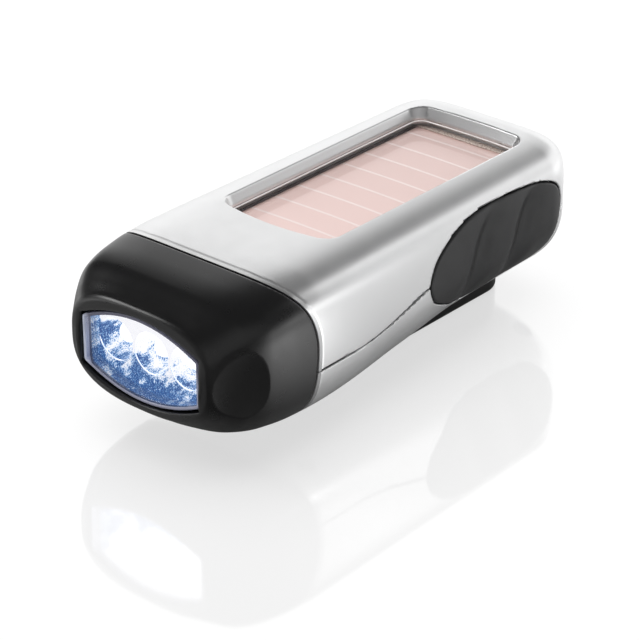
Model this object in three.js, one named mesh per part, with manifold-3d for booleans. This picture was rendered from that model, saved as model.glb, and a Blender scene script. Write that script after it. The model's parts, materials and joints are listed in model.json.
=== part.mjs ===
// A pocket torch with a solar panel on its top and a folding hand crank beneath.
// +X is the way the beam points, +Z is up, and the torch lies level on its crank arm.
// The origin is on the floor below the middle of the body. All lengths are millimetres.

import * as THREE from "three";
import { mergeVertices } from "three/addons/utils/BufferGeometryUtils.js";
import Module from "manifold-3d";

const wasm = await Module();
wasm.setup();

// Body: overall size of the outer skin
const bodyLength = 130;
const bodyHalfWidth = 27.1;
const crownHeight = 42.6;
const bellyHeight = 7.2;
const widestHeight = 25;
const tailEdgeRadius = 10;
const tailCornerRadius = 14;
const shellWall = 1.8;

// Clearances shared by all pieces
const pieceGap = 0.3;
const bearingGap = 0.15;
const overrun = 6;
const weld = 0.0001;

// Nose: where the black cap meets the silver shells, and its walls
const noseLength = 29;
const noseSeamTopLean = 9;
const noseSeamBottomLean = 4;
const noseWall = 2;
const sleeveWall = 1.5;
const sleeveReach = 4;
const noseFrontWall = 3.4;

// Side scoops of the nose
const scoopRadius = 26;
const scoopDepth = 1.7;
const scoopBack = 7.6;
const scoopHeight = 22.6;
const scoopTurn = 0.42;
const scoopWall = 1.2;

// Lens
const lensSideLip = 1.489;
const lensSideTop = 30.6;
const lensSideBottom = 19.2;
const lensArcTop = 34.8;
const lensArcBottom = 15.2;
const lensRecess = 1.5;
const lensThickness = 2;
const lensFlange = 1;
const lensFlangeThickness = 1.2;

// Light unit behind the lens
const ledHeight = 24.9;
const ledRadius = 2.5;
const ledFlangeRadius = 2.9;
const ledFlangeThickness = 1;
const ledLength = 8.6;
const ledPegRadius = 1.2;
const ledPegReach = 3;
const bowlFrontRadius = 5;
const bowlSideWall = 1;
const reflectorDepth = 10.4;
const reflectorInset = 0.8;
const bowlShares = [0.25, 0.5, 0.75, 1];
const bowlThroatShare = 0.25;
const ledBoardThickness = 1.6;

// Seam between the upper and the lower shell
const seamFrontHeight = 20;
const seamTailHeight = 26;
const seamRiseSetback = 14;
const seamRiseLength = 34;

// Rubber side grips
const gripFrontSetback = 39.9;
const gripTailMargin = 9.7;
const gripBottomMargin = 6.6;
const gripTopMargin = 5.3;
const gripThickness = 2.2;
const gripPocketDepth = 2.5;
const gripBackingWall = 1.5;
const gripBackingMargin = 1.6;
const dentRadius = 16;
const dentDepth = 1.1;
const dentTall = 11;
const dentPlaceShares = [0.34, 0.7];
const dentHeightShare = 0.55;

// Solar window in the top
const windowFrontSetback = 16.8;
const windowTailMargin = 16.1;
const windowSideMargin = 10.5;
const windowFrontBulge = 3.1;
const windowTailBulge = 3.9;
const windowCorner = 3;
const windowSlope = 1.2;
const windowDepth = 2.6;
const wellMargin = 1.9;
const wellDepth = 5.6;
const coverThickness = 1.4;
const cellThickness = 1;
const coverLap = 0.9;
const hookLength = 6;
const hookReach = 1.4;
const hookThickness = 0.7;

// Crank beneath the body
const crankSetback = 28;
const armHalfWidth = 8.7;
const armHubRadius = 11;
const armThickness = 6.6;
const armTailMargin = 7;
const armEdge = 0.8;
const shaftRadius = 3;
const shaftKeyRadius = 3.5;
const shaftKeyDepth = 3.8;
const shaftNeckRadius = 2.2;
const shaftBore = 1.1;
const shaftBoreDepth = 9;
const bushWall = 2;
const bushFlange = 1.8;
const bushFlangeThickness = 1.2;
const bushRise = 2;
const armScrewHeadRadius = 3.2;
const armScrewHeadHeight = 1.8;
const armScrewRadius = 0.9;
const armScrewLength = 9;

// Fold-out knob in the arm
const knobHingeInset = 7.5;
const knobHeight = 3.3;
const knobRadius = 3.1;
const knobWaist = 2.7;
const knobLength = 16;
const knobStart = 3.3;
const knobSlotHalfWidth = 4.3;
const knobEyeRadius = 2.8;
const knobEyeHalfWidth = 3.8;
const knobPostRadius = 1.3;
const knobPinRadius = 0.9;
const knobPinHalfLength = 6.4;
const rivetHeadRadius = 2.4;
const rivetHeadThickness = 1;
const rivetStemRadius = 0.6;
const rivetStemLength = 4;

// Gear train
const toothModule = 0.7;
const driveTeeth = 40;
const firstWheelTeeth = 36;
const secondWheelTeeth = 32;
const pinionTeeth = 10;
const rotorPinionTeeth = 8;
const gearWidth = 2.4;
const levelGap = 1;
const gearLift = 3;
const axleRadius = 1;
const axleBossRadius = 2.8;
const driveHubRise = 0.6;

// Bearing plate over the gears
const plateThickness = 1.6;
const plateFrontReach = 7;
const plateTailReach = 10.4;
const plateSideRoom = 8.1;
const plateTailSideRoom = 11.1;
const pillarRadius = 2.6;
const pillarFrontSetback = 9;
const pillarFrontInset = 2;
const pillarTailSetback = 5.4;
const pillarTailInset = 2.6;
const plateScrewRadius = 0.8;
const plateScrewHeadRadius = 1.8;
const plateScrewHeadHeight = 1.1;
const plateScrewLength = 8;

// Generator
const rotorShaftRadius = 0.8;
const magnetRadius = 6;
const magnetLength = 6.4;
const coilInner = 6.8;
const coilOuter = 9.8;
const canWall = 0.7;
const canRadius = 11;
const canHeight = 9.8;
const canLid = 0.9;
const canFoot = 2;

// Push button in the tail
const buttonRadius = 4.5;
const buttonFlangeRadius = 5.8;
const buttonFlangeThickness = 0.9;
const buttonHeight = 25;
const buttonDish = 1.2;
const buttonDishRadius = 7.4;
const buttonWallRadius = 8.2;
const buttonWallDepth = 3.6;
const buttonTravel = 1.2;
const plungerRadius = 1.2;
const plungerLength = 2.2;
const springRadius = 2.6;
const springWire = 0.28;
const springTurns = 3;
const switchBoardThickness = 1.2;
const switchBoardSideRoom = 3.6;
const switchBoardTop = 32;
const switchBoardBottom = 17.6;
const switchBodyHalf = 3;
const switchBodyDepth = 1.2;
const boardSlotDepth = 1.4;
const boardSlotWidth = 2;

// Battery pack and main board in the front bay
const batterySetback = 4.5;
const batteryRadius = 7.6;
const batteryLength = 5.9;
const batteryCount = 3;
const batteryFloorGap = 2.2;
const cradleWall = 1.2;
const cradleRise = 6;
const boardThickness = 1.2;
const boardBottom = 28.6;
const boardFrontReach = 7;
const boardLength = 20;
const boardSideRoom = 2.3;
const boardBossRadius = 2.4;
const boardBossInset = 4;
const chipSize = 6;
const chipHeight = 1.4;
const capRadius = 3;
const capHeight = 6;

// Screws that close the shells
const screwFrontSetback = 4;
const screwFrontMargin = 7.8;
const screwTailMargin = 9.5;
const screwTailSideMargin = 12.5;
const screwPostRadius = 3;
const screwHeadRadius = 2.1;
const screwHeadHeight = 1.5;
const screwHeadSeat = 15;
const screwShankRadius = 1.1;
const screwLength = 14;

// Screw heads and the button's face, as shares of their radius and height
const screwFaceShare = 0.8;
const screwRimShare = 0.6;
const buttonFaceShare = 0.9;

// Lead wires
const wireRadius = 0.55;
const wireSides = 8;

// Counts of flats on round work
const roundSides = 20;
const smallSides = 10;
const ringPoints = 28;
const tailSteps = 5;

const bodyHalfLength = bodyLength / 2;
const floorTop = bellyHeight + shellWall;

// Places along the body, from the nose seam or from the tail
const noseSeamX = bodyHalfLength - noseLength;
const tailX = -bodyHalfLength;
const seamRiseStart = noseSeamX - seamRiseSetback;
const seamRiseEnd = seamRiseStart - seamRiseLength;
const gripFront = noseSeamX - gripFrontSetback;
const gripLength = gripFront - tailX - gripTailMargin;
const windowFront = noseSeamX - windowFrontSetback;
const windowTail = tailX + windowTailMargin;
const crankX = noseSeamX - crankSetback;
const armTail = tailX + armTailMargin;
const knobHingeX = armTail + knobHingeInset;
const batteryX = noseSeamX - batterySetback;
const boardFront = noseSeamX + boardFrontReach;
const boardTail = boardFront - boardLength;
const boardBossX = boardTail + boardBossInset;
const screwFrontX = noseSeamX - screwFrontSetback;
const screwTailX = tailX + screwTailMargin;

// Places up and across, from the skin
const gripBottom = bellyHeight + gripBottomMargin;
const gripHeight = crownHeight - gripTopMargin - gripBottom;
const windowHalfWidth = bodyHalfWidth - windowSideMargin;
const screwFrontY = bodyHalfWidth - screwFrontMargin;
const screwTailY = bodyHalfWidth - screwTailSideMargin;
const boardHalfWidth = screwFrontY - screwPostRadius - boardSideRoom;
const boardBossY = boardHalfWidth - boardBossInset;
const switchBoardHalfWidth = screwTailY - screwPostRadius - switchBoardSideRoom;
const pillarFrontX = crankX - pillarFrontSetback;
const plateHalfWidth = bodyHalfWidth - plateSideRoom;
const plateTailHalfWidth = bodyHalfWidth - plateTailSideRoom;
const pillarFrontY = plateHalfWidth - pillarFrontInset;
const pillarTailY = plateTailHalfWidth - pillarTailInset;
const plateFront = crankX + plateFrontReach;

// Materials
function finish(color, roughness, metalness = 0) {
  return new THREE.MeshStandardMaterial({ color, roughness, metalness, flatShading: true });
}
const silver = finish(0xc9cacc, 0.35, 0.35);
const blackGloss = finish(0x141414, 0.35);
const rubber = finish(0x2c2c2d, 0.8);
const clear = finish(0xdfe4f2, 0.05);
const chrome = finish(0xe4e6ea, 0.1, 0.9);
const ledGlow = finish(0xeaf2ff, 0.1);
const cellPink = finish(0xe2c6c1, 0.3);
const boardGreen = finish(0x1f6b42, 0.5);
const nylon = finish(0xe9e4d6, 0.6);
const steel = finish(0x9aa0a6, 0.3, 0.9);
const magnetGrey = finish(0x55565a, 0.4, 0.6);
const copper = finish(0xb0652e, 0.4, 0.7);
const brass = finish(0xc2a15a, 0.3, 0.8);
const sleeveGreen = finish(0x2f7f5f, 0.4);
const wireRed = finish(0xb02020, 0.5);
const wireBlack = finish(0x1c1c1c, 0.5);

// Solids: joins and cuts on closed geometries
function toManifold(geometry) {
  const bare = new THREE.BufferGeometry();
  bare.setAttribute("position", geometry.getAttribute("position"));
  bare.setIndex(geometry.index);
  const merged = mergeVertices(bare, weld);
  const vertProperties = Float32Array.from(merged.getAttribute("position").array);
  const triVerts = Uint32Array.from(merged.index.array);
  return new wasm.Manifold(new wasm.Mesh({ numProp: 3, vertProperties, triVerts }));
}

function toGeometry(manifold) {
  const { vertProperties, triVerts } = manifold.getMesh();
  const geometry = new THREE.BufferGeometry();
  geometry.setAttribute("position", new THREE.BufferAttribute(vertProperties, 3));
  geometry.setIndex(new THREE.BufferAttribute(triVerts, 1));
  return geometry;
}

function join(...geometries) {
  return toGeometry(geometries.map(toManifold).reduce((sum, next) => sum.add(next)));
}

function cut(base, ...tools) {
  return toGeometry(tools.map(toManifold).reduce((left, tool) => left.subtract(tool), toManifold(base)));
}

function common(...geometries) {
  return toGeometry(geometries.map(toManifold).reduce((both, next) => both.intersect(next)));
}

// Simple forms, each a closed geometry in the frame of its group
function box(x0, x1, y0, y1, z0, z1) {
  const made = new THREE.BoxGeometry(x1 - x0, y1 - y0, z1 - z0);
  return made.translate((x0 + x1) / 2, (y0 + y1) / 2, (z0 + z1) / 2);
}

// A turned form about the Z axis, from a profile of [radius, height] points that runs upwards outside
function turned(profile, sides = roundSides) {
  const points = profile.map(([radius, height]) => new THREE.Vector2(radius, height));
  return new THREE.LatheGeometry(points, sides).rotateX(Math.PI / 2);
}

function rod(radius, from, to, sides = roundSides) {
  return turned([[0, from], [radius, from], [radius, to], [0, to]], sides);
}

function ring(outer, inner, from, to, sides = roundSides) {
  return turned([[inner, from], [outer, from], [outer, to], [inner, to], [inner, from]], sides);
}

// Turns a form made about Z so that it points along X or Y
function alongX(geometry) {
  return geometry.rotateY(Math.PI / 2);
}

function alongY(geometry) {
  return geometry.rotateX(-Math.PI / 2);
}

function extruded(shape, depth, curveSegments) {
  return new THREE.ExtrudeGeometry(shape, { depth, bevelEnabled: false, curveSegments });
}

function plateZ(shape, from, to, curveSegments = 8) {
  return extruded(shape, to - from, curveSegments).translate(0, 0, from);
}

// An outline drawn in X and Z, run along Y
function plateY(shape, from, to, curveSegments = 8) {
  return extruded(shape, to - from, curveSegments).rotateX(Math.PI / 2).translate(0, to, 0);
}

// An outline drawn in Y and Z, run along X
function plateX(shape, from, to, curveSegments = 8) {
  const turn = new THREE.Matrix4().makeBasis(
    new THREE.Vector3(0, 1, 0),
    new THREE.Vector3(0, 0, 1),
    new THREE.Vector3(1, 0, 0),
  );
  return extruded(shape, to - from, curveSegments).applyMatrix4(turn).translate(from, 0, 0);
}

function polygon(points) {
  return new THREE.Shape(points.map(([a, b]) => new THREE.Vector2(a, b)));
}

// Outer skin, as shares: place from the tail, half width, crown over and belly under the widest line,
// then the fullness of the upper and of the lower corners
const skinShares = [
  [0, 0.937, 1, 1, 5.5, 2.2],
  [0.092, 0.945, 1, 1, 5.5, 2.2],
  [0.346, 0.967, 1, 1, 5.5, 2.3],
  [0.531, 0.982, 1, 1, 5.5, 3.1],
  [0.762, 1, 1, 1.008, 5.5, 4.6],
  [0.823, 0.996, 0.994, 1.01, 5.2, 4.4],
  [0.885, 0.978, 0.96, 1, 4.7, 3.8],
  [0.931, 0.934, 0.903, 0.944, 4.3, 3.3],
  [0.965, 0.86, 0.79, 0.831, 3.6, 2.8],
  [0.981, 0.808, 0.733, 0.753, 3.1, 2.7],
  [0.994, 0.745, 0.687, 0.691, 2.8, 2.6],
  [1, 0.697, 0.619, 0.618, 2.7, 2.6],
];
const lensHalfWidth = bodyHalfWidth * skinShares.at(-1)[1] - lensSideLip;
const ledPitch = lensHalfWidth - reflectorInset - bowlSideWall - bowlFrontRadius;
const stationShares = [0.25, 0.44, 0.6, 0.762, 0.823, 0.86, 0.9, 0.931, 0.955, 0.975, 0.99, 1];

// Slope of a column of a table at one of its rows, with no overshoot between rows
function slopeAt(table, row, column) {
  if (row === 0 || row === table.length - 1) return 0;
  const before = (table[row][column] - table[row - 1][column]) / (table[row][0] - table[row - 1][0]);
  const after = (table[row + 1][column] - table[row][column]) / (table[row + 1][0] - table[row][0]);
  return before * after <= 0 ? 0 : (2 * before * after) / (before + after);
}

// Smooth value of a column of a table at a place given as a share
function valueAt(table, share, column) {
  const place = Math.min(Math.max(share, 0), 1);
  let row = 0;
  while (row < table.length - 2 && table[row + 1][0] < place) row += 1;
  const [start, end] = [table[row], table[row + 1]];
  const width = end[0] - start[0];
  const t = (place - start[0]) / width;
  const rise = t * t * (3 - 2 * t);
  const startPull = (t - 2 * t * t + t * t * t) * width * slopeAt(table, row, column);
  const endPull = (t * t * t - t * t) * width * slopeAt(table, row + 1, column);
  return start[column] + rise * (end[column] - start[column]) + startPull + endPull;
}

// How far the skin draws in near the rounded tail
function tailInset(radius, fromTail, inset) {
  const reach = Math.max(radius - fromTail, 0);
  const room = radius - inset;
  return radius - Math.sqrt(Math.max(room * room - reach * reach, 0));
}

// Section of the skin at a place along X, drawn in by an inset
function sectionAt(x, inset) {
  const fromTail = x + bodyHalfLength;
  const share = fromTail / bodyLength;
  const half = bodyHalfWidth * valueAt(skinShares, share, 1);
  const crown = (crownHeight - widestHeight) * valueAt(skinShares, share, 2);
  const belly = (widestHeight - bellyHeight) * valueAt(skinShares, share, 3);
  return {
    half: half - tailInset(tailCornerRadius, fromTail, inset),
    crown: crown - tailInset(tailEdgeRadius, fromTail, inset),
    belly: belly - tailInset(tailEdgeRadius, fromTail, inset),
    upper: valueAt(skinShares, share, 4),
    lower: valueAt(skinShares, share, 5),
  };
}

function skinPoint(x, angle, inset) {
  const { half, crown, belly, upper, lower } = sectionAt(x, inset);
  const [across, up] = [Math.cos(angle), Math.sin(angle)];
  const fullness = up >= 0 ? upper : lower;
  const reach = up >= 0 ? crown : belly;
  return [
    x,
    half * Math.sign(across) * Math.abs(across) ** (2 / fullness),
    widestHeight + reach * Math.sign(up) * Math.abs(up) ** (2 / fullness),
  ];
}

// Half width of the skin at a place and height, above the widest line
function halfWidthAt(x, height, inset = 0) {
  const { half, crown, upper } = sectionAt(x, inset);
  const rise = Math.abs(height - widestHeight) / crown;
  return half * (1 - rise ** upper) ** (1 / upper);
}

// A closed loft through rings of equal count, each running from +Y towards +Z
function loft(rings) {
  const count = rings[0].length;
  const positions = rings.flat(2);
  const index = [];
  for (let i = 0; i + 1 < rings.length; i += 1) {
    for (let j = 0; j < count; j += 1) {
      const k = (j + 1) % count;
      const [a, b, c, d] = [i * count + j, i * count + k, (i + 1) * count + k, (i + 1) * count + j];
      index.push(a, b, c, a, c, d);
    }
  }
  const last = (rings.length - 1) * count;
  for (let j = 1; j + 1 < count; j += 1) {
    index.push(0, j + 1, j);
    index.push(last, last + j, last + j + 1);
  }
  const geometry = new THREE.BufferGeometry();
  geometry.setAttribute("position", new THREE.BufferAttribute(Float32Array.from(positions), 3));
  geometry.setIndex(index);
  return geometry;
}

// The whole skin drawn in by an inset, from the tail to a place along X
function skinSolid(inset, front = bodyHalfLength) {
  const places = [];
  for (let i = 0; i <= tailSteps; i += 1) {
    const turn = (Math.PI / 2) * (i / tailSteps);
    places.push(-bodyHalfLength + tailCornerRadius - (tailCornerRadius - inset) * Math.cos(turn));
  }
  for (const share of stationShares) {
    const x = share * bodyLength - bodyHalfLength;
    if (x < front) places.push(x);
  }
  places.push(front);
  const angles = Array.from({ length: ringPoints }, (_, j) => (2 * Math.PI * j) / ringPoints);
  return loft(places.map((x) => angles.map((angle) => skinPoint(x, angle, inset))));
}

// Nose seam: place along X of the joint between cap and shells, at a height
function noseSeamAt(height) {
  const above = height > widestHeight;
  const reach = above ? crownHeight - widestHeight : widestHeight - bellyHeight;
  const lean = above ? noseSeamTopLean : noseSeamBottomLean;
  return noseSeamX + lean * ((height - widestHeight) / reach) ** 2;
}

// Everything ahead of the nose seam, shifted by a step
function aheadOfNoseSeam(shift) {
  const steps = 12;
  const top = crownHeight + overrun;
  const bottom = bellyHeight - overrun;
  const points = [[bodyLength, bottom]];
  points.push([bodyLength, top]);
  for (let i = 0; i <= steps; i += 1) {
    const height = top + (bottom - top) * (i / steps);
    points.push([noseSeamAt(height) + shift, height]);
  }
  return plateY(polygon(points), -bodyLength, bodyLength);
}

// Shell seam: height of the joint between the two shells, at a place along X
function shellSeamAt(x) {
  const t = Math.min(Math.max((seamRiseStart - x) / (seamRiseStart - seamRiseEnd), 0), 1);
  return seamFrontHeight + (seamTailHeight - seamFrontHeight) * t * t * (3 - 2 * t);
}

function belowShellSeam(drop) {
  const steps = 10;
  const points = [[-bodyLength, -overrun], [bodyLength, -overrun]];
  points.push([bodyLength, shellSeamAt(bodyLength) - drop]);
  for (let i = 0; i <= steps; i += 1) {
    const x = seamRiseStart + (seamRiseEnd - seamRiseStart) * (i / steps);
    points.push([x, shellSeamAt(x) - drop]);
  }
  points.push([-bodyLength, shellSeamAt(-bodyLength) - drop]);
  return plateY(polygon(points), -bodyLength, bodyLength);
}

// Outline of a side grip in X and Z, as shares of its length from the front and of its height
const gripShares = [
  [0, 0.47], [0.03, 0.67], [0.1, 0.82], [0.2, 0.93], [0.33, 0.99], [0.5, 1], [0.68, 0.98],
  [0.84, 0.93], [0.95, 0.82], [1, 0.62], [0.985, 0.4], [0.94, 0.17], [0.86, 0.04], [0.7, 0],
  [0.4, 0], [0.25, 0.06], [0.1, 0.2], [0.03, 0.3],
];

function gripOutline(margin) {
  const middleX = gripFront - gripLength / 2;
  const middleZ = gripBottom + gripHeight / 2;
  const points = gripShares.map(([back, up]) => {
    const x = gripFront - gripLength * back;
    const z = gripBottom + gripHeight * up;
    const away = new THREE.Vector2(x - middleX, z - middleZ);
    const reach = away.length();
    return away.multiplyScalar((reach + margin) / reach).add(new THREE.Vector2(middleX, middleZ));
  });
  const closed = [...points, points[0]];
  const shape = new THREE.Shape();
  shape.moveTo(points[0].x, points[0].y);
  shape.splineThru(closed.slice(1));
  return shape;
}

// Everything within a grip's outline, outside a depth, on the side named by +1 or -1
function gripPrism(side, margin) {
  const reach = bodyHalfWidth + overrun;
  const outline = gripOutline(margin);
  return side > 0 ? plateY(outline, overrun, reach, 1) : plateY(outline, -reach, -overrun, 1);
}

// Window outline in X and Y, drawn out or in by a margin
function windowOutline(margin) {
  const half = windowHalfWidth + margin;
  const front = windowFront + margin;
  const tail = windowTail - margin;
  const corner = windowCorner + Math.max(margin, 0);
  const shape = new THREE.Shape();
  shape.moveTo(tail + corner, -half);
  shape.lineTo(front - corner, -half);
  shape.quadraticCurveTo(front, -half, front + windowFrontBulge / 2, -half + corner);
  shape.quadraticCurveTo(front + windowFrontBulge * 1.5, 0, front + windowFrontBulge / 2, half - corner);
  shape.quadraticCurveTo(front, half, front - corner, half);
  shape.lineTo(tail + corner, half);
  shape.quadraticCurveTo(tail, half, tail - windowTailBulge / 2, half - corner);
  shape.quadraticCurveTo(tail - windowTailBulge * 1.5, 0, tail - windowTailBulge / 2, -half + corner);
  shape.quadraticCurveTo(tail, -half, tail + corner, -half);
  return shape;
}

// The sloping walls of the window recess
function windowRecess() {
  const bottom = windowOutline(-windowSlope).getPoints(4);
  const top = windowOutline((windowSlope * overrun) / windowDepth - windowSlope).getPoints(4);
  const base = crownHeight - windowDepth;
  return loftUp(bottom, base, top, base + overrun);
}

// A closed form between two outlines of equal count, one above the other
function loftUp(low, lowHeight, high, highHeight) {
  const open = (points) => (points[0].distanceTo(points.at(-1)) < weld ? points.slice(0, -1) : points);
  const [a, b] = [open(low), open(high)];
  const count = a.length;
  const positions = [];
  a.forEach((p) => positions.push(p.x, p.y, lowHeight));
  b.forEach((p) => positions.push(p.x, p.y, highHeight));
  const index = [];
  for (let j = 0; j < count; j += 1) {
    const k = (j + 1) % count;
    index.push(j, k, count + k, j, count + k, count + j);
  }
  THREE.ShapeUtils.triangulateShape(a, []).forEach(([p, q, r]) => index.push(p, r, q));
  THREE.ShapeUtils.triangulateShape(b, []).forEach(([p, q, r]) => {
    index.push(count + p, count + q, count + r);
  });
  const geometry = new THREE.BufferGeometry();
  geometry.setAttribute("position", new THREE.BufferAttribute(Float32Array.from(positions), 3));
  geometry.setIndex(index);
  return geometry;
}

// Lens outline in Y and Z, drawn out or in by a margin
function lensOutline(margin) {
  const half = lensHalfWidth + margin;
  const [top, bottom] = [lensSideTop + margin, lensSideBottom - margin];
  const shape = new THREE.Shape();
  shape.moveTo(-half, bottom);
  shape.quadraticCurveTo(0, bottom - 2 * (lensSideBottom - lensArcBottom), half, bottom);
  shape.lineTo(half, top);
  shape.quadraticCurveTo(0, top + 2 * (lensArcTop - lensSideTop), -half, top);
  shape.lineTo(-half, bottom);
  return shape;
}

// Levels of the gear train, from the floor up
const driveLevel = floorTop + gearLift;
const firstLevel = driveLevel + gearWidth + levelGap;
const secondLevel = firstLevel + gearWidth + levelGap;
const plateLevel = secondLevel + gearWidth + levelGap;
const plateTop = plateLevel + plateThickness;

// Places of the gear axes, in a row towards the tail
const pitchRadius = (teeth) => (toothModule * teeth) / 2;
const firstX = crankX - pitchRadius(driveTeeth) - pitchRadius(pinionTeeth);
const secondX = firstX - pitchRadius(firstWheelTeeth) - pitchRadius(pinionTeeth);
const rotorX = secondX - pitchRadius(secondWheelTeeth) - pitchRadius(rotorPinionTeeth);
const pillarTailX = rotorX - pillarTailSetback;
const plateTail = rotorX - plateTailReach;

const bushRadius = shaftRadius + bearingGap + bushWall;
const bushTop = floorTop + pieceGap + bushFlangeThickness + bushRise;
const frontScrews = [[screwFrontX, screwFrontY], [screwFrontX, -screwFrontY]];
const tailScrews = [[screwTailX, screwTailY], [screwTailX, -screwTailY]];
const shellScrews = [...frontScrews, ...tailScrews];
const pillars = [
  [pillarFrontX, pillarFrontY],
  [pillarFrontX, -pillarFrontY],
  [pillarTailX, pillarTailY],
  [pillarTailX, -pillarTailY],
];

// Both shells start as one hollow skin with pockets for the grips and a wall behind each
function bothShells() {
  const skin = skinSolid(0);
  const hollow = cut(skin, skinSolid(shellWall));
  const backing = cut(skinSolid(gripPocketDepth), skinSolid(gripPocketDepth + gripBackingWall));
  const pocket = cut(skinSolid(-overrun), skinSolid(gripPocketDepth));
  const sides = [1, -1];
  const backings = sides.map((side) => common(backing, gripPrism(side, gripBackingMargin)));
  const pockets = sides.map((side) => common(pocket, gripPrism(side, pieceGap)));
  const walled = cut(join(hollow, ...backings), ...pockets);
  const tail = -bodyHalfLength;
  const boss = alongX(rod(buttonWallRadius, 0, buttonWallDepth)).translate(tail, 0, buttonHeight);
  const dish = alongX(rod(buttonDishRadius, -overrun, buttonDish)).translate(tail, 0, buttonHeight);
  const hole = alongX(rod(buttonRadius + pieceGap, -overrun, overrun)).translate(tail, 0, buttonHeight);
  return cut(join(walled, boss), dish, hole, aheadOfNoseSeam(0));
}

// Slots that hold the switch board by its side edges
function boardSlots() {
  const half = switchBoardHalfWidth;
  const x = switchBoardX();
  const wall = boardSlotWidth;
  return [1, -1].map((side) => {
    const inner = side * (half - boardSlotDepth);
    const outer = side * (half + wall);
    const rail = box(
      x - wall,
      x + switchBoardThickness + wall,
      Math.min(inner, outer),
      Math.max(inner, outer),
      bellyHeight,
      switchBoardTop - pieceGap,
    );
    const groove = box(
      x - pieceGap,
      x + switchBoardThickness + pieceGap,
      -half - pieceGap,
      half + pieceGap,
      switchBoardBottom - pieceGap,
      switchBoardTop + overrun,
    );
    return cut(rail, groove);
  });
}

function switchBoardX() {
  const flangeBack = buttonWallDepth + pieceGap + buttonFlangeThickness;
  return -bodyHalfLength + flangeBack + plungerLength + buttonTravel + pieceGap + switchBodyDepth;
}

function upperShell() {
  const well = plateZ(windowOutline(wellMargin), crownHeight - wellDepth, crownHeight - shellWall / 2);
  const posts = shellScrews.map(([x, y]) => {
    return rod(screwPostRadius, seamFrontHeight, crownHeight, smallSides).translate(x, y, 0);
  });
  const boardBosses = [1, -1].map((side) => {
    const boss = rod(boardBossRadius, boardBottom + boardThickness + bearingGap, crownHeight, smallSides);
    return boss.translate(boardBossX, side * boardBossY, 0);
  });
  const skin = skinSolid(shellWall / 2);
  const inside = common(join(well, ...posts, ...boardBosses), skin, cutBehindNose());
  const coverSeat = crownHeight - windowDepth;
  const seat = plateZ(
    windowOutline(coverLap - windowSlope + pieceGap),
    crownHeight - wellDepth - overrun,
    coverSeat - windowSlope / 2,
  );
  const throat = plateZ(windowOutline(-windowSlope), coverSeat - windowSlope, coverSeat + windowSlope / 2);
  const pilots = shellScrews.map(([x, y]) => {
    const top = screwHeadSeat + screwLength + pieceGap;
    return rod(screwShankRadius + bearingGap, 0, top, smallSides).translate(x, y, 0);
  });
  const boardPilots = [1, -1].map((side) => {
    const pilot = rod(plateScrewRadius + bearingGap, 0, boardBottom + plateScrewLength, smallSides);
    return pilot.translate(boardBossX, side * boardBossY, 0);
  });
  const whole = cut(
    join(bothShells(), inside),
    windowRecess(),
    throat,
    seat,
    belowShellSeam(0),
    ...pilots,
    ...boardPilots,
  );
  return join(whole, ...cellHooks());
}

// Snap hooks under the solar cell
function cellHooks() {
  const coverBottom = crownHeight - windowDepth - windowSlope / 2 - pieceGap - coverThickness;
  const top = coverBottom - pieceGap - cellThickness - pieceGap;
  const outer = windowHalfWidth + wellMargin - windowSlope / 2;
  const inner = windowHalfWidth + coverLap - windowSlope - hookReach;
  const places = [windowFront - windowCorner * 3, windowTail + windowCorner * 3];
  const hooks = [];
  for (const x of places) {
    for (const side of [1, -1]) {
      const [y0, y1] = side > 0 ? [inner, outer] : [-outer, -inner];
      const arm = box(x - hookLength / 2, x + hookLength / 2, y0, y1, top - hookThickness, top);
      const [r0, r1] = side > 0 ? [outer - wellMargin / 2, outer] : [-outer, -outer + wellMargin / 2];
      const riser = box(
        x - hookLength / 2,
        x + hookLength / 2,
        r0,
        r1,
        top - hookThickness,
        crownHeight - wellDepth + shellWall / 2,
      );
      hooks.push(join(arm, riser));
    }
  }
  return hooks;
}

// Space behind the nose sleeve, where the shells may carry posts
function cutBehindNose() {
  return box(
    -bodyHalfLength,
    noseSeamX - sleeveReach - pieceGap,
    -bodyHalfWidth,
    bodyHalfWidth,
    0,
    crownHeight,
  );
}

function lowerShell() {
  const posts = shellScrews.map(([x, y]) => {
    return rod(screwPostRadius, bellyHeight, crownHeight, smallSides).translate(x, y, 0);
  });
  const feet = pillars.map(([x, y]) => {
    return rod(pillarRadius, bellyHeight, plateLevel - bearingGap, smallSides).translate(x, y, 0);
  });
  const bosses = [firstX, secondX, rotorX].map((x) => {
    return rod(axleBossRadius, bellyHeight, driveLevel - pieceGap, smallSides).translate(x, 0, 0);
  });
  const fittings = join(...posts, ...feet, ...bosses, ...boardSlots());
  const inside = common(fittings, skinSolid(shellWall / 2), cutBehindNose());
  const counterbores = shellScrews.map(([x, y]) => {
    const hole = rod(screwHeadRadius + pieceGap, -overrun, screwHeadSeat, smallSides).translate(x, y, 0);
    const shank = rod(screwShankRadius + bearingGap, 0, crownHeight, smallSides).translate(x, y, 0);
    return join(hole, shank);
  });
  const pilots = pillars.map(([x, y]) => {
    const from = plateTop - plateScrewLength - pieceGap;
    return rod(plateScrewRadius + bearingGap, from, crownHeight, smallSides).translate(x, y, 0);
  });
  const axleHoles = [firstX, secondX, rotorX].map((x) => {
    return rod(axleRadius + bearingGap, floorTop, crownHeight, smallSides).translate(x, 0, 0);
  });
  const bushHole = rod(bushRadius + bearingGap, 0, crownHeight).translate(crankX, 0, 0);
  const body = common(join(bothShells(), inside), belowShellSeam(pieceGap));
  return cut(body, ...counterbores, ...pilots, ...axleHoles, bushHole);
}

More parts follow.
